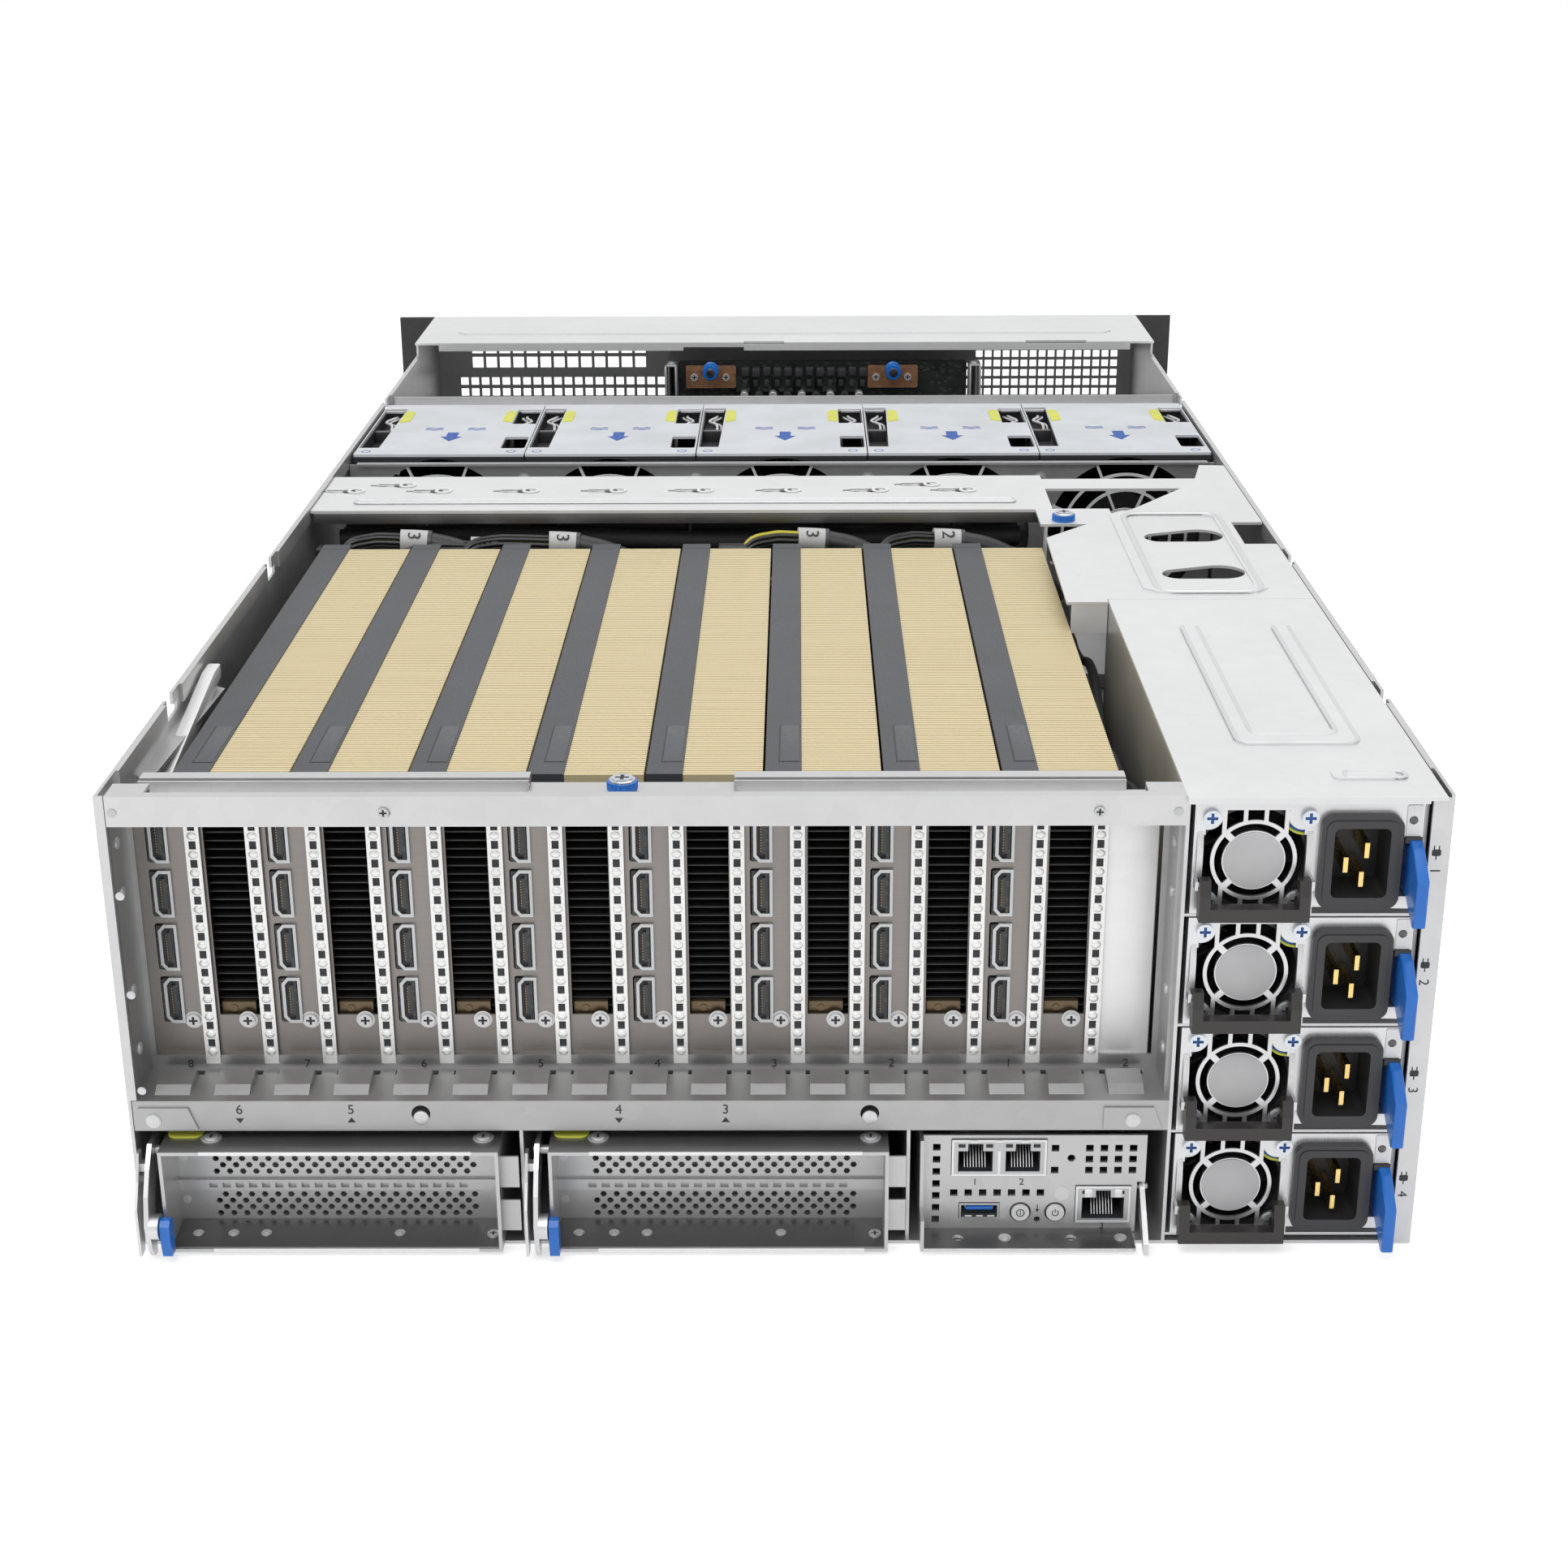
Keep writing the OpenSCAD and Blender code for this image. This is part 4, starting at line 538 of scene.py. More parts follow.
def world():
    """White behind the object, a plain grey light from all sides."""
    w = bpy.data.worlds.new("world")
    bpy.context.scene.world = w
    w.use_nodes = True
    tree = w.node_tree
    lit = tree.nodes["Background"]
    lit.inputs["Color"].default_value = (1, 1, 1, 1)
    lit.inputs["Strength"].default_value = 0.48
    seen = tree.nodes.new("ShaderNodeBackground")
    seen.inputs["Color"].default_value = (1, 1, 1, 1)
    seen.inputs["Strength"].default_value = 1.0
    tree.links.new(white_for_eye(tree, seen.outputs[0], lit.outputs[0]),
                   tree.nodes["World Output"].inputs["Surface"])


def floor():
    """A plain pale floor that keeps the object's shadow."""
    size = 6.0
    m = Nodes("floor")
    m.link(m.ramp(m.noise(3.0), [(0.0, (0.95, 0.95, 0.95)), (1.0, (0.97, 0.97, 0.97))]),
           m.bsdf.inputs["Base Color"])
    m.set(Roughness=0.9)
    glow = m.tree.nodes.new("ShaderNodeEmission")
    glow.inputs["Strength"].default_value = 0.52
    add = m.tree.nodes.new("ShaderNodeAddShader")
    m.link(m.bsdf.outputs[0], add.inputs[0])
    m.link(glow.outputs[0], add.inputs[1])
    out = m.tree.nodes["Material Output"]
    m.link(white_for_eye(m.tree, add.outputs[0], m.bsdf.outputs[0]), out.inputs["Surface"])
    data = bpy.data.meshes.new("floor")
    data.from_pydata([(-size, -size, 0), (size, -size, 0), (size, size, 0), (-size, size, 0)], [],
                     [(0, 1, 2, 3)])
    data.materials.append(m.mat)
    obj = bpy.data.objects.new("floor", data)
    bpy.context.scene.collection.objects.link(obj)
    obj.location.z = -0.0005


camera()
world()
floor()
area_light("key", (-0.5, -1.6, 1.9), (0, -0.1, 0.1), (1.6, 1.2), 19)
area_light("top", (0.3, 0.5, 2.2), (0, 0, 0.1), (1.8, 1.8), 13)
bpy.context.scene.view_settings.view_transform = "Standard"


# ---------------------------------------------------------------- cards
def card_fins():
    """Folded fins of the eight cards: a row of thin crests with open gaps between them."""
    pitch, crest, deep = 2.0, 1.35, 5.0
    y0, y1 = FINS_LO.y, FINS_HI.y
    n = int((y1 - y0) / pitch)
    for i in range(CARD_COUNT):
        x0 = CARD_X[i] + SHROUD_W + 0.1
        x1 = CARD_X[i] + CARD_W - 0.3
        m = Mesh()
        m.box((x0 + 0.8, y0, FINS_LO.z), (x1 - 0.8, y1, FINS_HI.z - deep))
        for j in range(n):
            y = y0 + (j + 0.5) * (y1 - y0) / n
            m.box((x0, y - crest / 2, FINS_HI.z - deep - 1), (x1, y + crest / 2, FINS_HI.z))
        fins = m.done(f"fins_{i + 1}", "root", FIN, "fins")
        if i == 0:
            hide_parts("card_fins")


def dark_fins():
    """The black fin stack of each card that shows through the open half of its bracket."""
    pitch = 3.1
    m = Mesh()
    for i in range(CARD_COUNT):
        x0 = CARD_X[i] + SHROUD_W + 1
        x1 = CARD_X[i] + CARD_W - 1.2
        z = FINS_LO.z + 2
        while z < CARD_TOP - 6:
            m.box((x0, SLOT_Y + 5, z), (x1, CARD_Y0 + 4, z + 0.5))
            z += pitch
        m.box((x0 - 0.8, SLOT_Y + 6, FINS_LO.z), (x0, CARD_Y0 - 0.2, CARD_TOP - 4))
        m.box((x1, SLOT_Y + 6, FINS_LO.z), (x1 + 0.8, CARD_Y0 - 0.2, CARD_TOP - 4))
    m.done("inner_fins", "root", FIN_DARK, "fins")


card_fins()
dark_fins()


# ---------------------------------------------------------------- small shared shapes
def plus_sign(cx, cy, r, w):
    """Outline of a plus sign, twelve corners."""
    pts = [(r, w), (w, w), (w, r), (-w, r), (-w, w), (-r, w), (-r, -w), (-w, -w), (-w, -r), (w, -r),
           (w, -w), (r, -w)]
    return [(cx + a, cy + b) for a, b in pts]


def screw(m, u, v, axis, at, out, r, h=1.6, metal=0, dark=1):
    """A pan head with a cross recess; u and v are the other two coordinates, out is +1 or -1. The recess
    floor gets a cross in material dark as painted shade.
    """
    keep = m.mat
    mid = at + out * h * 0.5
    m.mat = metal
    m.prism(ring(u, v, r, 20), axis, at, mid)
    m.plate(ring(u, v, r * 0.95, 20), [plus_sign(u, v, r * 0.62, r * 0.17)], axis, mid, at + out * h)
    # Painted shade: a thin dark cross laid on the recess floor.
    m.mat = dark
    m.prism(plus_sign(u, v, r * 0.62, r * 0.17), axis, mid, mid + out * 0.08)
    m.mat = keep


def rivet(m, u, v, axis, at, out, r, h=0.5):
    """A low domed rivet head."""
    for k in range(3):
        a = math.radians(30 * k)
        b = math.radians(30 * (k + 1))
        m.prism(ring(u, v, r * math.cos(a), 16), axis, at + out * h * math.sin(a), at + out * h * math.sin(b))


def curve_points(points, steps=6):
    """A smooth path through points."""
    pts = [Vector(p) for p in points]
    pts = [2 * pts[0] - pts[1]] + pts + [2 * pts[-1] - pts[-2]]
    out = []
    for a, b, c, d in zip(pts, pts[1:], pts[2:], pts[3:]):
        for k in range(steps):
            t = k / steps
            out.append(0.5 * (2 * b + (c - a) * t + (2 * a - 5 * b + 4 * c - d) * t * t
                              + (3 * b - a - 3 * c + d) * t ** 3))
    return out + [pts[-2]]


def digits(m, body, tall, at, right=(1, 0, 0), up=(0, 0, 1), deep=0.06):
    """Plain digits, tall mm high, lying on a face at a point."""
    curve = bpy.data.curves.new("digits", "FONT")
    curve.body = body
    curve.size = tall * 1.38
    curve.align_x, curve.align_y = "CENTER", "CENTER"
    curve.extrude = deep
    obj = bpy.data.objects.new("digits", curve)
    bpy.context.scene.collection.objects.link(obj)
    made = bpy.data.meshes.new_from_object(obj.evaluated_get(bpy.context.evaluated_depsgraph_get()))
    bpy.data.objects.remove(obj)
    bpy.data.curves.remove(curve)
    right, up = Vector(right), Vector(up)
    place = Matrix((right, up, right.cross(up))).transposed().to_4x4()
    place.translation = Vector(at)
    start, first = m.count(), len(m.bm.faces)
    m.bm.from_mesh(made)
    bpy.data.meshes.remove(made)
    m.move(place, start)
    m.bm.faces.ensure_lookup_table()
    m.paint(m.bm.faces[first:])


# ---------------------------------------------------------------- power supplies
LABEL = plastic("fan_label", (0.60, 0.60, 0.61), 0.5, 900.0, 0.04)
LED_OFF = plastic("lamp_window", (0.10, 0.10, 0.105), 0.25, 500.0, 0.03, 0.4)
WIRE_BLUE = plastic("blue_wire", (0.02, 0.12, 0.45), 0.4, 900.0, 0.05)
PLATE = brushed("bright_plate", (0.72, 0.72, 0.73), 0.55, (0.34, 0.48), (60.0, 60.0, 60.0))


INLET_X = 41
SUPPLY_FAN_R = 17.3


def psu_front(k):
    """The rear end of a power supply: fan frame, hub label, screws, wires and mains inlet."""
    body = f"psu_{k}"
    lo = node_box(f"psu_{k}_case")[0]
    x, y, z = lo.x, Y_REAR, lo.z
    fan_x, fan_z = x + 19.8, z + 18.95
    bore = [ring(fan_x, fan_z, SUPPLY_FAN_R, 40)]

    m = Mesh()
    m.plate(rounded(x + 1.2, z + 1.2, x + 39.4, z + 37.5, 2), bore, "y", y + 3, y + 6.4)
    m.plate(ring(fan_x, fan_z, SUPPLY_FAN_R + 1.3, 40), bore, "y", y + 6.4, y + 34)
    m.box((x + INLET_X + 6.1, y - 1.0, z + 1.6), (x + INLET_X + 15.2, y + 0.1, z + 2.7), 0.2)
    sill = [(x + 40, z + 0.15), (x + 73.8, z + 0.15), (x + 73.8, z + 1.5), (x + 40, z + 2.2)]
    m.prism(sill, "y", y - 0.25, y + 0.02)
    m.done(f"psu_{k}_fan_frame", body, BLACK, "black_plastic")

    m = Mesh()
    m.turned([(9.9, 0), (9.9, 0.25), (9.5, 0.4), (0, 0.4)], (fan_x, y - 0.02, fan_z), (0, -1, 0), 48)
    m.done(f"psu_{k}_hub_label", body, LABEL, "white_sheet")

    m = Mesh()
    for dx, dz in ((5.4, 34.2), (37.1, 34.2)):
        screw(m, x + dx, z + dz, "y", y, -1, 2.9, 1.7, 0, 2)
    for dx, dz in ((5.5, 5.0), (34.3, 5.0)):
        screw(m, x + dx, z + dz, "y", y, -1, 2.7, 1.3, 1, 3)
    m.done(f"psu_{k}_screws", body, [CHROME, STEEL_DARK, WIRE_BLUE, INK_AND_SHADE], "psu_steel")

    m = Mesh()
    for dx in (2.1, 37.5):
        leaf = [(-0.1, 8), (-0.9, 12), (-1.3, 17), (-1.3, 22), (-0.9, 26), (-0.1, 29)]
        outline = [(y + a, z + b) for a, b in leaf] + [(y + a + 0.5, z + b) for a, b in leaf[::-1]]
        m.prism(outline, "x", x + dx - 1.0, x + dx + 1.0)
    m.done(f"psu_{k}_leaf_springs", body, PLATE, "psu_steel")

    m = Mesh()
    for j, mat in enumerate((0, 1, 0)):
        m.mat = mat
        h = z + 27.2 + j * 1.1
        route = [(x + 30, y + 2.2, h + 3), (x + 33.5, y + 1.9, h + 0.8), (x + 38.6, y + 2.1, h)]
        m.tube(curve_points(route, 4), 0.5, 8)
    m.done(f"psu_{k}_fan_wires", body, [YELLOW, WIRE_BLUE], "cable_black")

    ix0 = x + INLET_X

    def mouth(inset, r):
        """The inlet's outline, drawn in by inset."""
        return rounded(ix0 + inset, z + 3 + inset, x + 67 - inset, z + 35.1 - inset, r, 6)

    m = Mesh()
    m.plate(mouth(-0.3, 4.2), [mouth(3.3, 2.2)], "y", y - 2.9, y - 0.02)
    m.plate(mouth(1.3, 3), [mouth(3.9, 2)], "y", y - 3.3, y - 2.85)
    m.plate(mouth(2.9, 2.4), [mouth(3.4, 2.1)], "y", y - 1.0, y + 15.9)
    m.prism(mouth(3.1, 2.2), "y", y + 15.4, y + 15.95)
    m.done(f"psu_{k}_inlet_cover", body, BLACK, "black_plastic")

    m = Mesh()
    for dx, dz in ((8, 16.5), (14.6, 21.6), (13.4, 11.4)):
        pin_x, pin_z = ix0 + dx, z + 1 + dz
        m.box((pin_x - 0.15, y - 0.8, pin_z - 2.75), (pin_x + 1.55, y + 15.4, pin_z + 2.75), 0.35)
    m.done(f"psu_{k}_inlet_pins", body, GOLD, "psu_steel")

    m = Mesh()
    m.mat = 0
    lamp_x, lamp_z = x + 70.6, z + 33
    window = [ring(lamp_x, lamp_z, 1.45, 20)]
    m.plate(rounded(x + 68.4, z + 27.5, x + 73.6, z + 38.2, 0.6), window, "y", y - 0.35, y - 0.02)
    m.mat = 1
    m.turned([(1.4, 0), (1.3, 0.3), (0.9, 0.55), (0, 0.65)], (lamp_x, y - 0.02, lamp_z), (0, -1, 0), 20)
    m.mat = 2
    m.box((x + 68.2, y - 1.4, z + 25.2), (x + 73.6, y + 4, z + 27.2), 0.3)
    m.done(f"psu_{k}_lamp", body, [PLATE, LED_OFF, BLACK], "psu_steel")

    m = Mesh()
    blade = [(12, 6.6), (12, 26.4), (-2, 26.4), (-6, 25), (-15, 17.5), (-15, 1.2), (-13, 0.4),
             (-8, 3), (-2, 6.6)]
    m.prism([(y + a, z + b) for a, b in blade], "x", x + 69.7, x + 73.7, 0.7, 3)
    tab = m.done(f"psu_{k}_release_tab", body + "_lever", BLUE, "blue_plastic")
    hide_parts(f"psu_{k}_lever")


for number in range(1, PSU_COUNT + 1):
    psu_front(number)


# ---------------------------------------------------------------- slot wall
EMI_HOLES = 13
EMI_Z, EMI_STEP = 66.0, 6.75
PLATE_Y = Y_REAR + 25.3
STRIP_Y = node_box("emi_strips")[0].y
SOCKET_Z = (82, 102, 122, 142)
BRONZE = brushed("bronze_block", (0.16, 0.115, 0.07), 0.7, (0.34, 0.46), (60.0, 60.0, 60.0))
TONGUE = plastic("socket_tongue", (0.045, 0.045, 0.05), 0.4, 900.0, 0.06)


def slot_x(k):
    """Middle of a card slot."""
    return CARD_X[0] + 0.9 + k * SLOT_PITCH


def spring_bumps():
    """The raised fingers between the square holes of each contact strip."""
    m = Mesh()
    for k in range(2 * CARD_COUNT):
        x = slot_x(k) + SLOT_PITCH / 2
        for j in range(EMI_HOLES + 1):
            z = EMI_Z + (j - 0.5) * EMI_STEP
            start = m.count()
            m.turned([(1, 0), (0.92, 0.38), (0.7, 0.7), (0.38, 0.92), (0, 1)], (0, 0, 0), (0, -1, 0), 16)
            m.move(Matrix.Translation((x, STRIP_Y + 0.05, z)) @ Matrix.Diagonal((1.75, 0.62, 1.5, 1)), start)
    m.done("contact_bumps", "root", SPRING, "emi_white", 60)
    # Painted shadow: thin dark strips behind each contact strip.
    m = Mesh()
    for k in range(2 * CARD_COUNT):
        x = slot_x(k) + SLOT_PITCH / 2
        m.box((x - 1.5, STRIP_Y + 0.62, 61), (x + 1.5, STRIP_Y + 0.8, 155))
    m.done("strip_shadows", "root", INK_AND_SHADE, "black_plastic")


def display_socket(m, x, z):
    """One display socket: rim, dark liner, tongue and contacts."""
    w0, w1, h = x - 6.0, x + 0.4, 8.6
    rim = [(w0 + 2, z - h), (w1, z - h), (w1, z + h), (w0 + 2, z + h), (w0, z + h - 2.2), (w0, z - h + 2.2)]
    inner = h - 1.1
    hole = [(w0 + 2.4, z - inner), (w1 - 1.0, z - inner), (w1 - 1.0, z + inner), (w0 + 2.4, z + inner),
            (w0 + 1.1, z + h - 2.7), (w0 + 1.1, z - h + 2.7)]
    m.mat = 0
    m.plate(rim, [hole], "y", PLATE_Y - 1.2, PLATE_Y + 0.02)
    m.mat = 1
    m.prism(hole, "y", PLATE_Y - 0.05, PLATE_Y + 0.06)
    m.mat = 2
    m.box((x - 3.4, PLATE_Y - 0.95, z - 5.6), (x - 1.9, PLATE_Y + 0.02, z + 5.6), 0.2)
    m.mat = 3
    for j in range(10):
        m.box((x - 3.5, PLATE_Y - 1.0, z - 4.75 + j), (x - 3.38, PLATE_Y - 0.05, z - 4.35 + j))


def card_ends():
    """Sockets, bracket screws and the block behind each vent, slot by slot."""
    sockets, screws, blocks = Mesh(), Mesh(), Mesh()
    for i in range(CARD_COUNT):
        board = CARD_X[i] + 1.1
        for z in SOCKET_Z:
            display_socket(sockets, board + 1.1, z)
        for x in (slot_x(2 * i) + 4.3, slot_x(2 * i + 1) + 2.9):
            screws.mat = 0
            screws.prism(ring(x, 74.2, 3.2, 24), "y", PLATE_Y - 0.25, PLATE_Y + 0.02)
            screw(screws, x, 74.2, "y", PLATE_Y - 0.2, -1, 2.5, 1.1)
        xm = slot_x(2 * i + 1)
        blocks.box((xm - 6.5, PLATE_Y + 2.0, 74.5), (xm + 5.5, PLATE_Y + 8, 80), 0.4)
        blocks.prism(ring(xm - 2.2, 77.6, 1.3, 16), "y", PLATE_Y + 1.6, PLATE_Y + 2.1)
    blank = Mesh()
    x = slot_x(2 * CARD_COUNT)
    blank.box((x - 8.6, PLATE_Y - 0.2, 56.6), (x + 9.4, PLATE_Y + 0.02, 155.6), 0.08)
    blank.done("blank_bracket", "root", LIP, "emi_white")
    sockets.done("display_sockets", "root", [STEEL_DARK, INK_AND_SHADE, TONGUE, GOLD], "port_metal")
    screws.done("bracket_screws", "root", [PLATE, INK_AND_SHADE], "bracket_steel")
    blocks.done("card_end_blocks", "root", BRONZE, "bracket_steel")


def slot_numbers():
    """Plain numbers under the slots and on the shelf, with small arrows."""
    m = Mesh()
    for i in range(CARD_COUNT):
        digits(m, str(CARD_COUNT - i), 3.2, (slot_x(2 * i) + 2.0, SLOT_Y - 0.03, 57.6))
    digits(m, "2", 3.2, (slot_x(2 * CARD_COUNT) + 2.0, SLOT_Y - 0.03, 57.6))
    for x, text, way in ((-182, "6", -1), (-144, "5", 1), (-53, "4", -1), (-16.7, "3", 1)):
        digits(m, text, 3.6, (x, Y_REAR - 0.03, 52.6))
        tip = 48.6 + way * 1.1
        foot = 48.6 - way * 0.8
        m.prism([(x - 1.4, foot), (x + 1.4, foot), (x, tip)], "y", Y_REAR - 0.08, Y_REAR + 0.02)
    m.done("slot_numbers", "root", INK_AND_SHADE, "black_plastic")


def shelf_fasteners():
    """Shoulder studs in the keyholes, rivets on the gussets and on the side returns."""
    m = Mesh()
    for x in (X_L + 99.5, X_L + 252):
        stud = [(1.3, 1.2), (1.3, -0.6), (2.6, -0.7), (2.6, -1.4), (1.8, -1.9), (0, -1.9)]
        m.turned(stud, (x, Y_REAR + 1.0, 49.6), (0, 1, 0), 24)
    for x in (X_L + 8.5, 121.5):
        rivet(m, x, 48.9, "y", Y_REAR - 0.82, -1, 2.6, 0.7)
    for z in (70, 92, 128, 146):
        rivet(m, Y_REAR + 12, z, "x", IN_L + 0.3 + SHEET, 1, 2.2, 0.6)
        rivet(m, Y_REAR + 12, z, "x", 133.55 - SHEET, -1, 2.2, 0.6)
    m.done("shelf_fasteners", "root", [PLATE, INK_AND_SHADE], "galvanised")


def beam_parts():
    """Screws and rivets of the rear beam."""
    m = Mesh()
    for x in (-126, 105.5):
        screw(m, x, 161.5, "y", Y_REAR, -1, 1.9, 0.8, 0, 1)
    for x in (-214, 131):
        rivet(m, x, 161.4, "y", Y_REAR, -1, 1.6, 0.4)
    m.done("beam_screws", "root", [STEEL_DARK, INK_AND_SHADE], "galvanised")


def knurled(m, x, y, z0, z1, r, teeth=22):
    """A knurled knob between two heights."""
    out = []
    for t in range(teeth):
        a = 360 * t / teeth
        out += [(x + r * math.cos(math.radians(a)), y + r * math.sin(math.radians(a))),
                (x + (r - 0.35) * math.cos(math.radians(a + 180 / teeth)),
                 y + (r - 0.35) * math.sin(math.radians(a + 180 / teeth)))]
    m.prism(out, "z", z0, z1, 0.3, 2)


spring_bumps()
card_ends()
slot_numbers()
shelf_fasteners()
beam_parts()


# ---------------------------------------------------------------- thumbscrews
BRACE_Z = node_box("cross_brace")[1].z - 0.6
BAY_LO, BAY_HI = node_box("drive_backplane")
BAY_Y = BAY_LO.y
BAY_SCREW_X = (-44, 65)


def upright_screws():
    """Blue captive screws standing on the slot bar and on the brace."""
    m = Mesh()
    for x, y, z, r in ((-50, Y_REAR + 20, CARD_TOP + 8.2, 5.2), (128.55, -57, BRACE_Z + 3.4, 5.2)):
        m.mat = 0
        knurled(m, x, y, z - 3.4, z - 0.4, r)
        m.mat = 1
        m.turned([(r - 1.4, -4.2), (r - 1.2, -3.3)], (x, y, z), (0, 0, 1), 28)
        m.turned([(r - 0.8, -0.45), (r - 0.9, 0.1), (r - 1.3, 0.35)], (x, y, z), (0, 0, 1), 28)
        screw(m, x, y, "z", z + 0.1, 1, r - 1.5, 0.6, 1, 2)
    for x in BAY_SCREW_X:
        m.mat = 0
        y0, z = BAY_Y - 12, BAY_HI.z - 3
        grip = [(4.2, 0), (4.6, 0.6), (4.6, 4.2), (3.6, 4.8), (3.6, 9.4), (4.6, 10.0), (4.6, 12)]
        m.turned(grip, (x, y0, z), (0, 1, 0), 24)
        m.mat = 1
        m.turned([(0, -0.9), (2.6, -0.7), (2.8, 0.1)], (x, y0, z), (0, 1, 0), 24)
    screws = m.done("thumbscrews", "root", [BLUE, CHROME, INK_AND_SHADE], "blue_plastic")
    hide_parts("captive_screws")


# ---------------------------------------------------------------- riser trays and I/O panel

def riser_dressing(n):
    """Touch pad, flange, fasteners and lips of one riser tray, with painted shade on the flange and ledge and
    painted highlight on the lips.
    """
    body = f"riser_{n}"
    lo, hi = node_box(f"riser_{n}_tray")
    x0, x1 = lo.x - 3.4 + 9.3, hi.x - 6.1
    y, z0, z1 = Y_REAR - 8, lo.z, lo.z + 39

    m = Mesh()
    # Painted shade: the top flange and the lower ledge in darker copies of the tray sheet.
    m.mat = 0
    m.plate(rect(x0 + 0.1, y + 0.1, x1 - 0.1, y + 27.5), [], "z", z1 + 0.02, z1 + 0.14)
    m.mat = 1
    m.plate(rect(x0 + 1.3, y + 1.4, x1 - 1.3, y + 19.8), [], "z", z0 + 1.22, z0 + 1.34)
    # Painted highlight: pale strips along the folded edges.
    m.mat = 2
    m.box((x0 + 16, y - 0.25, z0 + 0.1), (x1 - 8, y + 0.3, z0 + 1.5), 0.2)
    m.box((x0 + 14, y - 0.2, z1 - 1.1), (x1 - 9, y + 0.3, z1 + 0.2), 0.15)
    m.box((x0 + 10, y + 27.3, z1 - 0.2), (x1 - 10, y + 28.2, z1 + 0.4), 0.15)
    m.done(f"riser_{n}_faces", body, [SHADED_TRAY_FLANGE, SHADED_TRAY_LEDGE, LIP], "psu_steel")

    m = Mesh()
    m.prism(rounded(x0 + 1.0, y + 9.4, x0 + 13.2, y + 17.2, 3.2, 6), "z", z1 + 0.1, z1 + 0.9, 0.3, 2)
    m.done(f"riser_{n}_touch_pad", body, YELLOW, "white_sheet")

    m = Mesh()
    for x in (x0 + 16.4, x1 - 6):
        m.mat = 0
        m.prism(ring(x, y + 9.8, 3.6, 28), "z", z1 + 0.1, z1 + 0.55, 0.15)
        screw(m, x, y + 9.8, "z", z1 + 0.55, 1, 2.4, 0.7, 0, 1)
    for dx in (8.5, 20.8, 32.2, 78.7):
        rivet(m, x0 + dx, y + 10, "z", z0 + 1.3, 1, 1.9, 0.8)
    screw(m, x1 - 4.2, y + 9, "z", z0 + 1.3, 1, 2.2, 0.9, 0, 1)
    for dx, dz in ((3.2, 26), (3.0, 9)):
        rivet(m, x0 + dx, z0 + dz, "y", y + 20.0, -1, 1.5, 0.5)
    m.done(f"riser_{n}_fasteners", body, [PLATE, INK_AND_SHADE], "psu_steel")


def jack_inside(m, x0, x1, z0, z1, y, deep):
    """Black liner, contact wires and lamp windows of one network jack."""
    a, b, c, d = x0 + 2.25, x1 - 2.25, z0 + 1.65, z1 - 4.45
    mid = (x0 + x1) / 2
    m.mat = 0
    m.box((a, y + deep - 1, c), (b, y + deep - 0.2, z1 - 1.7))
    for lo, hi in (((a, y, c), (a + 0.15, y + deep, d)), ((b - 0.15, y, c), (b, y + deep, d)),
                   ((a, y, c), (b, y + deep, c + 0.15)), ((a, y, d - 0.15), (mid - 2.6, y + deep, d)),
                   ((mid + 2.6, y, d - 0.15), (b, y + deep, d)),
                   ((mid - 2.6, y, z1 - 1.8), (mid + 2.6, y + deep, z1 - 1.65))):
        m.box(lo, hi)
    m.mat = 1
    for j in range(8):
        x = mid + (j - 3.5) * 1.02
        m.tube([(x, y + 2.0, c + 0.5), (x, y + 4.5, (c + d) / 2 + 0.4), (x, y + 9, d - 0.4)], 0.2, 6)
    m.mat = 0
    for x in (x0 + 2.2, x1 - 4.6):
        m.box((x, y - 0.12, z1 - 3.0), (x + 2.4, y + 0.1, z1 - 1.7))


